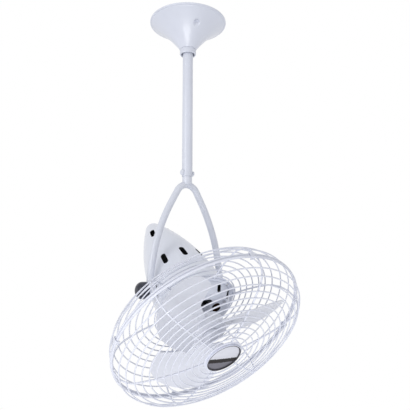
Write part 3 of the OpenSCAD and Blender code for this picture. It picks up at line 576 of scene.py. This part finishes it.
# The rear housing takes the lighter enamel, painted light, and painted shade on its inner faces
shell = piece("housing_shell", bm, "head", [housing_paint_painted_light, inner_primer_and_painted_shade],
              ["rear_housing"])
cutters = bmesh.new()
for count, at, start_r in SLOT_ROWS:
    for i in range(count):
        prism(cutters, slot_outline(SLOT_L, SLOT_W), HOUSING_R,
              turned(SLOT_START + 360 * i / count, start_r, 0, at) @ ALONG_X)
for side in (-1, 1):
    prism(cutters, hole_outline(BOSS_R + 0.05, BOSS_SIDES), BOSS_CUT_L,
          Matrix.Translation((side * BOSS_CUT_AT - BOSS_CUT_L / 2, 0, 0)) @ ALONG_X)
for i in range(FLANGE_SCREWS):
    prism(cutters, hole_outline(FLANGE_HOLE_R), HOLE_DEPTH, at_flange_screw(i, HOUSING_FRONT - 6))
drill(shell, cutters, "housing_cutters")


def paint_shade_inside(obj, is_inside):
    """Gives the second material, painted shade, to the faces whose middle, on the head's own axes,
    is inside.
    """
    back = (HEAD @ Matrix.Scale(MM, 4)).inverted()
    turn = back.to_3x3()
    for face in obj.data.polygons:
        if is_inside(back @ face.center, (turn @ face.normal).normalized()):
            face.material_index = 1


def in_shell(p, n):
    """True on the shell's inner side, which looks back at the axis."""
    from_axis = Vector((p.x, p.y, p.z - min(max(p.z, tip_at), WIDEST)))
    return from_axis.dot(n) < 0 and p.xy.length < FLANGE_R - 6 and p.z < HOUSING_FRONT - 0.5


paint_shade_inside(shell, in_shell)

# Front housing: a pan that narrows to a flat face, with the bearing seat and stator skirt inside
SIDE_END = FRONT_FROM + 8.5
FACE_R = 70
FACE_VENTS, FACE_VENT_START, FACE_VENT_R, FACE_VENT_L, FACE_VENT_W = 6, 37, 41, 32, 20
CONE_VENTS, CONE_VENT_START, CONE_VENT_L, CONE_VENT_W = 12, 15, 22, 11
MOTOR_BOLTS, MOTOR_BOLT_START, MOTOR_BOLT_R, MOTOR_HOLE_R = 4, 45, 64, 2.05
CONE = math.atan2(HOUSING_R - FACE_R, FRONT_END - SIDE_END)
cone_in = SIDE_END - WALL * math.tan(CONE / 2)
face_in = FACE_R - WALL * math.tan(math.pi / 4 - CONE / 2)
SKIRT_R, SKIRT_T, SKIRT_FROM = 70.05, 2.5, 9
skirt_out = SKIRT_R + SKIRT_T


def cone_z(r):
    """Height of the wall's inner face over radius r, along the narrowing part."""
    return cone_in + (HOUSING_R - WALL - r) / math.tan(CONE)


BEARING_R = 16.05
SEAT_T = 3
SHAFT_HOLE_R = 9
seat_end = FRONT_END - 5
seat_from = FRONT_END - WALL - 13
bm = bmesh.new()
lathe(bm, rounded([(HOUSING_R - WALL, FRONT_FROM, 0), (FLANGE_R, FRONT_FROM, 0.5),
                   (FLANGE_R, FRONT_FROM + FLANGE_T, 0.5), (HOUSING_R, FRONT_FROM + FLANGE_T, 0),
                   (HOUSING_R, SIDE_END, 4), (FACE_R, FRONT_END, 4),
                   (SHAFT_HOLE_R, FRONT_END, 0.6), (SHAFT_HOLE_R, seat_end, 0),
                   (BEARING_R, seat_end, 0), (BEARING_R, seat_from, 0),
                   (BEARING_R + SEAT_T, seat_from, 0.5), (BEARING_R + SEAT_T, FRONT_END - WALL, 1),
                   (face_in, FRONT_END - WALL, 0.8), (SKIRT_R, cone_z(SKIRT_R), 0),
                   (SKIRT_R, SKIRT_FROM, 0.4), (skirt_out, SKIRT_FROM, 0.4),
                   (skirt_out, cone_z(skirt_out), 0.8), (HOUSING_R - WALL, cone_in, 2.4)]), 144)
# The front pan takes painted shade on its inner faces
pan = piece("front_pan", bm, "head", [paint, inner_primer_and_painted_shade], ["front_housing"])
cutters = bmesh.new()
through = Matrix.Translation((0, 0, -WALL - 1))
across = Matrix.Rotation(math.pi / 2, 4, "Z") @ through
for i in range(FACE_VENTS):
    prism(cutters, slot_outline(FACE_VENT_L, FACE_VENT_W), WALL + 2,
          turned(FACE_VENT_START + 60 * i, FACE_VENT_R, 0, FRONT_END) @ across)
    prism(cutters, hole_outline(FLANGE_HOLE_R), HOLE_DEPTH, at_flange_screw(i, FRONT_FROM - 2))
for i in range(CONE_VENTS):
    prism(cutters, slot_outline(CONE_VENT_L, CONE_VENT_W), WALL + 2,
          turned(CONE_VENT_START + 30 * i, (HOUSING_R + FACE_R) / 2, 0,
                 (SIDE_END + FRONT_END) / 2)
          @ Matrix.Rotation(math.pi / 2 - CONE, 4, "Y") @ through)
for i in range(MOTOR_BOLTS):
    prism(cutters, hole_outline(MOTOR_HOLE_R), HOLE_DEPTH,
          turned(MOTOR_BOLT_START + 90 * i, MOTOR_BOLT_R, 0, FRONT_END - 5))
drill(pan, cutters, "pan_cutters")


def in_pan(p, _):
    """True behind the middle of the pan's wall."""
    r = p.xy.length
    return (p.z < FRONT_END - 0.4 and r < HOUSING_R - 0.8
            and (p.z < SIDE_END or p.z - cone_z(r) < 0.5 * WALL / math.sin(CONE)))


paint_shade_inside(pan, in_pan)

# Stack of flanges and its screws
STACK_END = FRONT_FROM + 3 * FLANGE_T + 2 * GAP
NUT_T = 4
bm = bmesh.new()
for i in range(FLANGE_SCREWS):
    pan_head(bm, *FLANGE_SCREW, STACK_END - HOUSING_FRONT + FLANGE_T + NUT_T,
             at_flange_screw(i, STACK_END + GAP))
piece("flange_pan_screws", bm, "head", bright_steel, ["flange_screws"])
bm = bmesh.new()
clamp_from = STACK_END - FLANGE_T
lathe(bm, rounded([(HOUSING_R + GAP, clamp_from, 0.3), (FLANGE_R - 1, clamp_from, 0.4),
                   (FLANGE_R - 1, STACK_END, 0.9), (HOUSING_R + GAP, STACK_END, 0.9)]), 128)
ring = piece("clamp_ring_turned", bm, "head", paint, ["guard_clamp_ring"])
cutters = bmesh.new()
for i in range(FLANGE_SCREWS):
    prism(cutters, hole_outline(FLANGE_HOLE_R), 6, at_flange_screw(i, clamp_from - 1))
drill(ring, cutters, "ring_cutters")


# Tilt pivot: turned bosses, the cap nut on one side and the hand knob on the other

BOSS_FROM = 80
BOSS_END = YOKE_HALF - EYE_T / 2 - 3 - 2 * GAP
OUTSIDE = YOKE_HALF + EYE_T / 2 + GAP
STUD_HOLE_L = 14.3
bm = bmesh.new()
for side in (-1, 1):
    start = len(bm.verts)
    lathe(bm, rounded([(STUD_R, BOSS_FROM, 0.4), (BOSS_R, BOSS_FROM, 0.8), (BOSS_R, BOSS_END, 1.0),
                       (STUD_R, BOSS_END, 0.4)]), 72)
    move(bm, start, ALONG_X if side > 0 else AGAINST_X)
piece("turned_bosses", bm, "head", paint, ["tilt_bosses"])

CAP_R, CAP_L, CAP_EDGE = 19, 28, 11
stud_hole = [(0, STUD_HOLE_L), (STUD_R, STUD_HOLE_L), (STUD_R, 0)]
cap_profile = (stud_hole + rounded([(STUD_R + 1, 0, 0), (CAP_R, 0, 0.8), (CAP_R, 3, 0)])
               + arc((CAP_R - CAP_EDGE, CAP_L - CAP_EDGE), CAP_EDGE, 0, 90, 12)
               + rounded([(5, CAP_L, 0), (3.5, CAP_L, 0.5), (3.5, CAP_L - 3, 0)])
               + [(0, CAP_L - 3)])
bm = bmesh.new()
lathe(bm, cap_profile, 72, closed=False)
piece("cap_nut", bm, "head", paint, ["tilt_cap"],
      HEAD @ Matrix.Translation((OUTSIDE * MM, 0, 0)) @ ALONG_X)

KNOB_R, KNOB_L, KNOB_EDGE = 20, 25, 15
FLUTES, FLUTE_DEPTH, FLUTE_TOP, FLUTE_FADE = 12, 1.0, 9, 8


def flute(r, a, z):
    """Presses smooth flutes into the knob's side, which fade out towards its crown."""
    if r > KNOB_R - 6 and z < KNOB_L - 5:
        fade = min(1, max(0, (KNOB_L - FLUTE_TOP - z) / FLUTE_FADE))
        r -= FLUTE_DEPTH * (0.5 - 0.5 * math.cos(FLUTES * a)) ** 2 * fade
    return Vector((r * math.cos(a), r * math.sin(a), z))


bm = bmesh.new()
lathe(bm, stud_hole + rounded([(STUD_R + 1, 0, 0), (KNOB_R - 0.3, 0, 1.2), (KNOB_R, 2.5, 0)])
      + [(KNOB_R, z) for z in (4.5, 6.5, 8.5)]
      + arc((KNOB_R - KNOB_EDGE, KNOB_L - KNOB_EDGE), KNOB_EDGE, 0, 90, 18) + [(0, KNOB_L)],
      144, closed=False, shape=flute)
piece("hand_knob", bm, "knob", knob_plastic, ["tilt_knob"],
      UPRIGHT @ Matrix.Translation((-OUTSIDE * MM, 0, 0)) @ AGAINST_X, sharp=50)


# Cage: rings of wire, radial wires just inside them, a nugget of weld at each crossing

CAGE_R = 226
RIM_AT = 131
RIM_WIRE, RING_WIRE, RADIAL_WIRE = 2.7, 1.5, 2.0
RING_POINTS = 168
WELD = 0.5
SHOULDER_ANGLE = 75
RADIALS, RADIAL_START = 6, 28
INSET = RING_WIRE + RADIAL_WIRE - WELD
RIM_GAP = RIM_WIRE + GAP / 2
GUARD_PLATE = FRONT_FROM + FLANGE_T + GAP
REAR_PLATE_R = FLANGE_R + 3
FRONT_PLATE_R, FRONT_PLATE_BORE, FRONT_PLATE_T = 43, 30, 2
NUGGET_R = RING_WIRE * 1.15
NUGGET_IN = RING_WIRE * 0.75
NUGGET_SHAPE = (1.2, 1.5, 0.8, 1)


class Guard:
    """The outline of one guard: a tight shoulder arc that runs into a nearly flat face arc."""

    def __init__(self, plate_r, rise):
        k = math.radians(SHOULDER_ANGLE)
        self.run, self.rise = CAGE_R - plate_r, rise
        span = (self.run - rise) / (math.cos(k) - 1 + math.sin(k))
        self.shoulder = rise - (1 - math.sin(k)) * span
        self.face = self.shoulder + span

    def depth(self, r):
        """Height over the rim's plane at radius r."""
        centre = CAGE_R - self.shoulder
        if r >= centre + self.shoulder * math.cos(math.radians(SHOULDER_ANGLE)):
            return math.sqrt(max(0, self.shoulder ** 2 - (r - centre) ** 2))
        return self.rise - self.face + math.sqrt(self.face ** 2 - (r - CAGE_R + self.run) ** 2)

    def radial(self, r_end):
        """Centreline of a radial wire from the rim in to radius r_end."""
        k, face = SHOULDER_ANGLE, self.face - INSET
        end = math.degrees(math.acos((r_end - CAGE_R + self.run) / face))
        return (arc((CAGE_R - self.shoulder, 0), self.shoulder - INSET, 0, k, 16)
                + arc((CAGE_R - self.run, self.rise - self.face), face, k, end, 24)[1:])


def wire_ring(bm, r, z, wire, sides=10):
    """A ring of wire, at the same angles as every other ring."""
    sweep(bm, [polar(r, 360 * i / RING_POINTS, z) for i in range(RING_POINTS)], wire, sides,
          closed=True)


def guard_mesh(guard, radii, r_end):
    """Rings, radial wires and weld nuggets of a guard with its rim at z = 0, facing +Z."""
    bm = bmesh.new()
    wire_ring(bm, CAGE_R, 0, RIM_WIRE, sides=16)
    for r in radii:
        wire_ring(bm, r, guard.depth(r), RING_WIRE)
    for i in range(RADIALS):
        start = len(bm.verts)
        sweep(bm, [(r, 0, z) for r, z in guard.radial(r_end)], RADIAL_WIRE, 12)
        for r in radii:
            crossing = Matrix.Translation((r, 0, guard.depth(r) - NUGGET_IN))
            bmesh.ops.create_icosphere(bm, subdivisions=2, radius=NUGGET_R,
                                       matrix=crossing @ Matrix.Diagonal(NUGGET_SHAPE))
        move(bm, start, turned(RADIAL_START + 60 * i))
    return bm


FRONT_DEPTH = 70
FRONT_RINGS, FRONT_SPACING = 11, 15
front_guard = Guard(FRONT_PLATE_R, FRONT_DEPTH - RIM_GAP)
front_radii = [CAGE_R - 7] + [FRONT_PLATE_R + FRONT_SPACING * (k + 1) for k in range(FRONT_RINGS)]
bm = guard_mesh(front_guard, front_radii, FRONT_PLATE_R - 6)
front_plate = front_guard.rise - INSET + RADIAL_WIRE - WELD
plate_face = front_plate + FRONT_PLATE_T
lathe(bm, rounded([(FRONT_PLATE_BORE, front_plate, 0.5), (FRONT_PLATE_R + 3, front_plate, 0.6),
                   (FRONT_PLATE_R + 3, plate_face, 1.0), (FRONT_PLATE_BORE, plate_face, 0.5)]), 96)
piece("front_cage", bm, "head", guard_paint, ["front_guard"],
      HEAD @ Matrix.Translation((0, 0, (RIM_AT + RIM_GAP) * MM)))

REAR_RINGS, REAR_SPACING = 8, 15.5
rear_plate = RIM_AT - RIM_GAP - GUARD_PLATE - FLANGE_T
rear_rise = rear_plate + INSET - RADIAL_WIRE + WELD
rear_guard = Guard(REAR_PLATE_R, rear_rise)
rear_radii = [CAGE_R - 4] + [REAR_PLATE_R + 4 + REAR_SPACING * k for k in range(REAR_RINGS)]
bm = guard_mesh(rear_guard, rear_radii, FLANGE_R - 0.4)
rear_back = rear_plate + FLANGE_T
lathe(bm, rounded([(HOUSING_R + GAP, rear_plate, 0.4), (REAR_PLATE_R, rear_plate, 0.6),
                   (REAR_PLATE_R, rear_back, 1.0), (HOUSING_R + GAP, rear_back, 0.4)]), 128)
piece("rear_cage", bm, "head", guard_paint, ["rear_guard"],
      HEAD @ Matrix.Translation((0, 0, (RIM_AT - RIM_GAP) * MM)) @ Matrix.Scale(-1, 4, (0, 0, 1)))

# Clips: bent spring strips that hold the two rims together
CLIPS, CLIP_START = 4, RADIAL_START + 64
CLIP_W, CLIP_T = 10, 1.5
CLIP_EDGE_RADIANS = 1.2
clip_in = CAGE_R - 5
clip_half = RIM_GAP + RIM_WIRE + GAP
clip_out = CAGE_R + RIM_WIRE + GAP
strip = rounded([(clip_in, -clip_half, 0), (clip_out, -clip_half, 1.2),
                 (clip_out, clip_half, 1.2), (clip_in, clip_half, 0),
                 (clip_in, clip_half + CLIP_T, 0.5),
                 (clip_out + CLIP_T, clip_half + CLIP_T, 2.6),
                 (clip_out + CLIP_T, -clip_half - CLIP_T, 2.6),
                 (clip_in, -clip_half - CLIP_T, 0.5)])
bm = bmesh.new()
for i in range(CLIPS):
    prism(bm, strip, CLIP_W, turned(CLIP_START + 90 * i, 0, 0, RIM_AT)
          @ Matrix.Rotation(math.pi / 2, 4, "X") @ Matrix.Translation((0, 0, -CLIP_W / 2)))
bmesh.ops.bevel(bm, geom=[e for e in bm.edges if e.calc_face_angle(0) > CLIP_EDGE_RADIANS],
                offset=0.25, segments=2, affect="EDGES", profile=0.5)
piece("rim_clips", bm, "head", guard_paint, ["guard_clips"])


# Badge: a plain domed disc in a raised bezel, with a darker lower part and no lettering

BADGE_SEAT = RIM_AT + RIM_GAP + plate_face + GAP
BEZEL_R, BEZEL_W, BEZEL_T = 41, 3, 4.5
BADGE_R, BADGE_T = BEZEL_R - BEZEL_W - GAP, 3
DOME_STEPS, DOME_DROP = 24, 0.9
DARK_BELOW, BAND_W = -2.0, 13.0
LAND_W, GROOVE_DEPTH = 0.8, 0.3
bm = bmesh.new()
dome = [(BADGE_R * k / DOME_STEPS, BADGE_SEAT + BADGE_T - DOME_DROP * (k / DOME_STEPS) ** 2.5)
        for k in range(DOME_STEPS, -1, -1)]
lathe(bm, [(0, BADGE_SEAT), (BADGE_R, BADGE_SEAT)] + dome, 96, closed=False)
badge = piece("badge_disc", bm, "head", [badge_metal, badge_dark, badge_band],
              ["badge"])
to_head = (HEAD @ Matrix.Scale(MM, 4)).inverted()
for face in badge.data.polygons:
    spot = to_head @ face.center
    if spot.y < DARK_BELOW:
        face.material_index = 2 if spot.y > DARK_BELOW - BAND_W else 1
bm = bmesh.new()
bore, top = BEZEL_R - BEZEL_W, BADGE_SEAT + BEZEL_T
groove = BEZEL_R - LAND_W
lathe(bm, rounded([(bore, BADGE_SEAT, 0.3), (BEZEL_R, BADGE_SEAT, 0.5), (BEZEL_R, top, 0.25),
                   (groove, top, 0.1), (groove, top - GROOVE_DEPTH, 0),
                   (bore, top - GROOVE_DEPTH, 0)]), 96)
bezel = piece("bezel_ring", bm, "head", [bezel_paint, groove_shade],
              ["badge_bezel"])
for face in bezel.data.polygons:
    spot = to_head @ face.center
    if spot.xy.length < groove + 0.05 and spot.z > BADGE_SEAT + 0.4:
        face.material_index = 1


# Blades and spider: curved sheets cut to an outline that is drawn along the fan axis

BLADES, BLADE_START = 3, 23
BLADE_AT = 126
PITCH = math.radians(21)
CAMBER_R = 420
BLADE_T, ARM_T = 1.5, 3
PETAL_R, PETAL_X = 72, 122
HUB_R, HUB_AT, HUB_END = 42, 109, 137
HUB_WALL, HUB_BOSS_R = 5, 14
HUB_GAP = HUB_R + GAP
SHAFT_R = 6.05
RIVETS, RIVET_HOLE_R = (62, 88), 2.55
HOLE_POINTS = 16
GRID_STEP, ARM_GRID_STEP = 5.0, 4.0
CLOSEST, HOLE_MARGIN = 0.55, 1
SHEET_EDGE, EDGE_ANGLE = 0.4, 50
SETTLE_ROUNDS, HALVINGS = 8, 40


def sheet_point(x, y, behind):
    """The point over (x, y) of the pitched, curved sheet, this far behind its front face."""
    def lift():
        return CAMBER_R - math.sqrt((CAMBER_R + behind) ** 2 - across ** 2)

    across = y / math.cos(PITCH)
    for _ in range(SETTLE_ROUNDS):
        across = (y + lift() * math.sin(PITCH)) / math.cos(PITCH)
    return Vector((x, y, across * math.sin(PITCH) + lift() * math.cos(PITCH) + BLADE_AT))


def curved_sheet(bm, outline, behind, thickness, step):
    """A sheet with this outline, holes for the rivets and softened edges; step is how far apart
    its inner points are. Returns the number of vertices before it."""
    points = [Vector(p) for p in outline]
    rows = [[i, (i + 1) % len(outline)] for i in range(len(outline))]
    faces = [list(range(len(outline)))]
    for hole in RIVETS:
        first = len(points)
        points += [Vector((hole + RIVET_HOLE_R * math.cos(TAU * k / HOLE_POINTS),
                           RIVET_HOLE_R * math.sin(TAU * k / HOLE_POINTS)))
                   for k in range(HOLE_POINTS)]
        rows += [[first + k, first + (k + 1) % HOLE_POINTS] for k in range(HOLE_POINTS)]
    low_x, high_x = min(p.x for p in points), max(p.x for p in points)
    low_y, high_y = min(p.y for p in points), max(p.y for p in points)
    y = low_y
    while y < high_y:
        x = low_x
        while x < high_x:
            spot = Vector((x, y))
            if (inside(spot, outline) and min((spot - p).length for p in points) > step * CLOSEST
                    and all((spot - Vector((hole, 0))).length > RIVET_HOLE_R + HOLE_MARGIN
                            for hole in RIVETS)):
                points.append(spot)
            x += step
        y += step
    flat, _, triangles, _, _, _ = delaunay_2d_cdt(points, rows, faces, 1, 1e-5)
    start = len(bm.verts)
    front, back = [], []
    for p in flat:
        front.append(bm.verts.new(sheet_point(p.x, p.y, behind)))
        back.append(bm.verts.new(sheet_point(p.x, p.y, behind + thickness)))
    edges = {}
    for tri in triangles:
        middle = sum((flat[i] for i in tri), Vector((0, 0))) / len(tri)
        if any((middle - Vector((hole, 0))).length < RIVET_HOLE_R * 0.98 for hole in RIVETS):
            continue
        bm.faces.new([front[i] for i in tri])
        bm.faces.new([back[i] for i in reversed(tri)])
        for a, b in zip(tri, tri[1:] + tri[:1]):
            edges[(a, b)] = edges.get((a, b), 0) + 1
    for a, b in edges:
        if (b, a) not in edges:
            bm.faces.new((front[b], front[a], back[a], back[b]))
    bm.verts.ensure_lookup_table()
    made = set(bm.verts[start:])
    rim = [e for e in bm.edges if e.is_manifold and e.calc_face_angle(0) > math.radians(EDGE_ANGLE)
           and e.verts[0] in made]
    bmesh.ops.bevel(bm, geom=rim, offset=min(SHEET_EDGE, thickness * 0.3), segments=2,
                    affect="EDGES", profile=0.5)
    return start


def inside(point, outline):
    """True if the point is inside the outline."""
    hit = False
    for (x0, y0), (x1, y1) in zip(outline, outline[1:] + outline[:1]):
        if ((y0 > point.y) != (y1 > point.y)
                and point.x < x0 + (point.y - y0) * (x1 - x0) / (y1 - y0)):
            hit = not hit
    return hit


def circle_edge(line_from, line_to, centre, r):
    """Where the line between two points leaves or enters a circle."""
    a, b = Vector(line_from), Vector(line_to)
    low, high = 0.0, 1.0
    start_in = (a - Vector(centre)).length < r
    for _ in range(HALVINGS):
        middle = (low + high) / 2
        if (((a + (b - a) * middle) - Vector(centre)).length < r) == start_in:
            low = middle
        else:
            high = middle
    return a + (b - a) * low


# A blade's outline: a round petal, a straight root side over the hub, and a notch behind it
ROOT_X, ROOT_TOP, ROOT_SHOULDER = 20, 62, 38
ROOT_FOOT, ROOT_BEND = (ROOT_X, -8), (84, -26)
ROOT_NOTCH, NOTCH_END = (97, -56), (100, -PETAL_R - 1)
hub_leave = circle_edge(ROOT_FOOT, ROOT_BEND, (0, 0), HUB_GAP)
petal_join = circle_edge(ROOT_NOTCH, NOTCH_END, (PETAL_X, 0), PETAL_R)
join_angle = math.degrees(math.atan2(petal_join.y, petal_join.x - PETAL_X))
root_angle = math.degrees(math.acos(ROOT_X / HUB_GAP))
leave_angle = math.degrees(math.atan2(hub_leave.y, hub_leave.x))
blade_outline = (rounded([(hub_leave.x, hub_leave.y, 0), (*ROOT_BEND, 6), (*ROOT_NOTCH, 10),
                          (petal_join.x, petal_join.y, 0)], 6)
                 + arc((PETAL_X, 0), PETAL_R, join_angle, 90, 56)[1:]
                 + rounded([(PETAL_X, PETAL_R, 0), (PETAL_X - PETAL_R / 2, PETAL_R, 12),
                            (ROOT_X, ROOT_TOP, 7), (ROOT_X, ROOT_SHOULDER, 0)], 6)[1:-1]
                 + arc((0, 0), HUB_GAP, root_angle, leave_angle, 24)[:-1])

for i in range(BLADES):
    bm = bmesh.new()
    curved_sheet(bm, blade_outline, 0, BLADE_T, GRID_STEP)
    move(bm, 0, turned(BLADE_START + 120 * i))
    piece(f"blade_sheet_{i + 1}", bm, "rotor", blade_paint, [f"blade_{i + 1}"],
          sharp=35)

ARM_W, ARM_END = 38, 104
arm_outline = ([(HUB_R - 1, -ARM_W / 2)]
               + arc((ARM_END - ARM_W / 2, 0), ARM_W / 2, -90, 90, 20) + [(HUB_R - 1, ARM_W / 2)])
bm = bmesh.new()
for i in range(BLADES):
    start = curved_sheet(bm, arm_outline, BLADE_T + GAP, ARM_T, ARM_GRID_STEP)
    move(bm, start, turned(BLADE_START + 120 * i))
hub_in, web = HUB_R - HUB_WALL, HUB_END - HUB_WALL
lathe(bm, rounded([(SHAFT_R, HUB_AT, 0.5), (HUB_BOSS_R, HUB_AT, 0.8), (HUB_BOSS_R, web, 1.5),
                   (hub_in, web, 1.5), (hub_in, HUB_AT, 0.5), (HUB_R, HUB_AT, 0.8),
                   (HUB_R, HUB_END, 4), (SHAFT_R, HUB_END, 0.5)]), 96)
piece("hub_and_arms", bm, "rotor", blade_paint, ["blade_spider"])

RIVET_R, RIVET_HEAD_R, RIVET_HEAD_T = 2.5, 4.5, 1.2
RIVET_EDGE, RIVET_DOME = 0.4, 0.8
rivet_foot = -BLADE_T - ARM_T - 2 * GAP
rivet_profile = ([(0, rivet_foot - RIVET_HEAD_T), (RIVET_HEAD_R * 0.6, rivet_foot - RIVET_HEAD_T),
                  (RIVET_HEAD_R, rivet_foot - RIVET_EDGE), (RIVET_HEAD_R, rivet_foot),
                  (RIVET_R, rivet_foot), (RIVET_R, GAP), (RIVET_HEAD_R, GAP),
                  (RIVET_HEAD_R, GAP + RIVET_EDGE)]
                 + [(RIVET_HEAD_R * math.cos(math.radians(k)),
                     GAP + RIVET_EDGE + RIVET_DOME * math.sin(math.radians(k)))
                    for k in (20, 40, 60, 75)] + [(0, GAP + RIVET_HEAD_T)])
bm = bmesh.new()
for i in range(BLADES):
    for x in RIVETS:
        start = len(bm.verts)
        lathe(bm, rivet_profile, 32, closed=False)
        move(bm, start, turned(BLADE_START + 120 * i, 0, 0, BLADE_AT)
             @ Matrix.Rotation(PITCH, 4, "X") @ Matrix.Translation((x, 0, 0)))
piece("dome_rivets", bm, "rotor", blade_paint, ["blade_rivets"])

SPINNER_R, SPINNER_L, SPINNER_EDGE, SPINNER_CROWN = 18, 16, 10, 5.7
shaft_hole = SPINNER_L - SPINNER_CROWN
bm = bmesh.new()
lathe(bm, [(0, shaft_hole), (SHAFT_R, shaft_hole), (SHAFT_R, 0)]
      + rounded([(7, 0, 0), (SPINNER_R, 0, 0.8), (SPINNER_R, 3, 0)])
      + arc((SPINNER_R - SPINNER_EDGE, SPINNER_L - SPINNER_EDGE), SPINNER_EDGE, 0, 90, 12)
      + [(0, SPINNER_L)], 72, closed=False)
piece("spinner", bm, "rotor", blade_paint, ["spinner_nut"],
      HEAD @ Matrix.Translation((0, 0, (HUB_END + GAP) * MM)))


# Windings: bundles of wire that arch from slot to slot at each end of the laminations

STATOR_FROM, STATOR_L = 26, 32
COILS, COIL_WIRE = 12, 1.9
COIL_SPAN, COIL_STEPS, COIL_ARCH, COIL_GAP = 46, 14, 2.2, 0.6
COIL_LANES = ((49, 7.2), (53, 6.2), (57, 7.2))
bm = bmesh.new()
for end, z0 in ((-1, STATOR_FROM), (1, STATOR_FROM + STATOR_L)):
    for i in range(COILS):
        for k, (lane, height) in enumerate(COIL_LANES):
            path = []
            for n in range(COIL_STEPS + 1):
                t = n / COIL_STEPS
                bulge = min(1, math.sin(math.pi * t) * COIL_ARCH)
                path.append(polar(lane, 30 * i + 10 * k + COIL_SPAN * t,
                                  z0 + end * (COIL_GAP + height * bulge)))
            sweep(bm, path, COIL_WIRE, 8)
piece("wound_coils", bm, "head", copper, ["stator_windings"], sharp=60)


# Studio: pale floor far below, white behind for the camera, soft lamps at a plain level

FLOOR_Z, FLOOR_HALF = -2.6, 3.4
WORLD_COLOUR, WORLD_STRENGTH = (0.96, 0.97, 1.0, 1), 0.60
bm = bmesh.new()
bmesh.ops.create_grid(bm, x_segments=8, y_segments=8, size=FLOOR_HALF)
mesh = bpy.data.meshes.new("studio_floor")
bm.to_mesh(mesh)
bm.free()
floor = bpy.data.objects.new("studio_floor", mesh)
floor.location = (0, 0, FLOOR_Z)
scene.collection.objects.link(floor)
mesh.materials.append(surface("floor_paint", (0.86, 0.86, 0.87), 0.8, tone=0.01, tone_scale=2,
                              grain=0.02))

world = bpy.data.worlds.new("studio_world")
scene.world = world
world.use_nodes = True
nodes, links = world.node_tree.nodes, world.node_tree.links
background = nodes["Background"]
background.inputs["Strength"].default_value = WORLD_STRENGTH
background.inputs["Color"].default_value = WORLD_COLOUR
white = nodes.new("ShaderNodeBackground")
white.inputs["Color"].default_value = (1, 1, 1, 1)
white.inputs["Strength"].default_value = 1.0
rays = nodes.new("ShaderNodeLightPath")
seen = nodes.new("ShaderNodeMath")
seen.operation = "MAXIMUM"
links.new(rays.outputs["Is Camera Ray"], seen.inputs[0])
links.new(rays.outputs["Is Glossy Ray"], seen.inputs[1])
mix = nodes.new("ShaderNodeMixShader")
links.new(seen.outputs["Value"], mix.inputs["Fac"])
links.new(background.outputs["Background"], mix.inputs[1])
links.new(white.outputs["Background"], mix.inputs[2])
links.new(mix.outputs["Shader"], nodes["World Output"].inputs["Surface"])

# The camera stands and looks as the one that took the photograph, and the lamps stand round it
CAMERA_AT = Vector((-0.6721, -1.0172, -0.6887))
HEADING, RISE = math.radians(35.57), math.radians(9.27)
SENSOR, LENS = 36, 43.35
AIM = Vector((0, 0, -0.55))
# Each lamp's direction is (towards the camera, to its left, up); then its distance, size and power
LAMPS = {"key": ((0.9, 0.8, 0.45), 2.4, 1.3, 12.5),
         "fill": ((0.6, -1.0, -0.1), 2.6, 1.6, 2.5),
         "low": ((1.0, 0.1, -1.1), 2.4, 1.6, 34),
         "top": ((0.2, 0, 1), 2.4, 1.6, 6)}
forward = Vector((math.sin(HEADING) * math.cos(RISE), math.cos(HEADING) * math.cos(RISE),
                  math.sin(RISE)))
left = Vector((-math.cos(HEADING), math.sin(HEADING), 0))


def lamp(name, direction, distance, size, power):
    """A round lamp that faces AIM from this direction."""
    light = bpy.data.lights.new(name, "AREA")
    light.shape, light.size, light.energy = "DISK", size, power
    obj = bpy.data.objects.new(name, light)
    obj.location = AIM + direction.normalized() * distance
    obj.rotation_euler = (-direction).to_track_quat("-Z", "Y").to_euler()
    scene.collection.objects.link(obj)


for name, ((back, side, up), distance, size, power) in LAMPS.items():
    lamp(name, left * side - forward * back + Vector((0, 0, up)), distance, size, power)

camera_data = bpy.data.cameras.new("camera")
camera_data.sensor_width = SENSOR
camera_data.lens = LENS
camera = bpy.data.objects.new("camera", camera_data)
camera.location = CAMERA_AT
camera.rotation_euler = forward.to_track_quat("-Z", "Y").to_euler()
scene.collection.objects.link(camera)
scene.camera = camera
scene.view_settings.view_transform = "Standard"

bpy.context.view_layer.update()
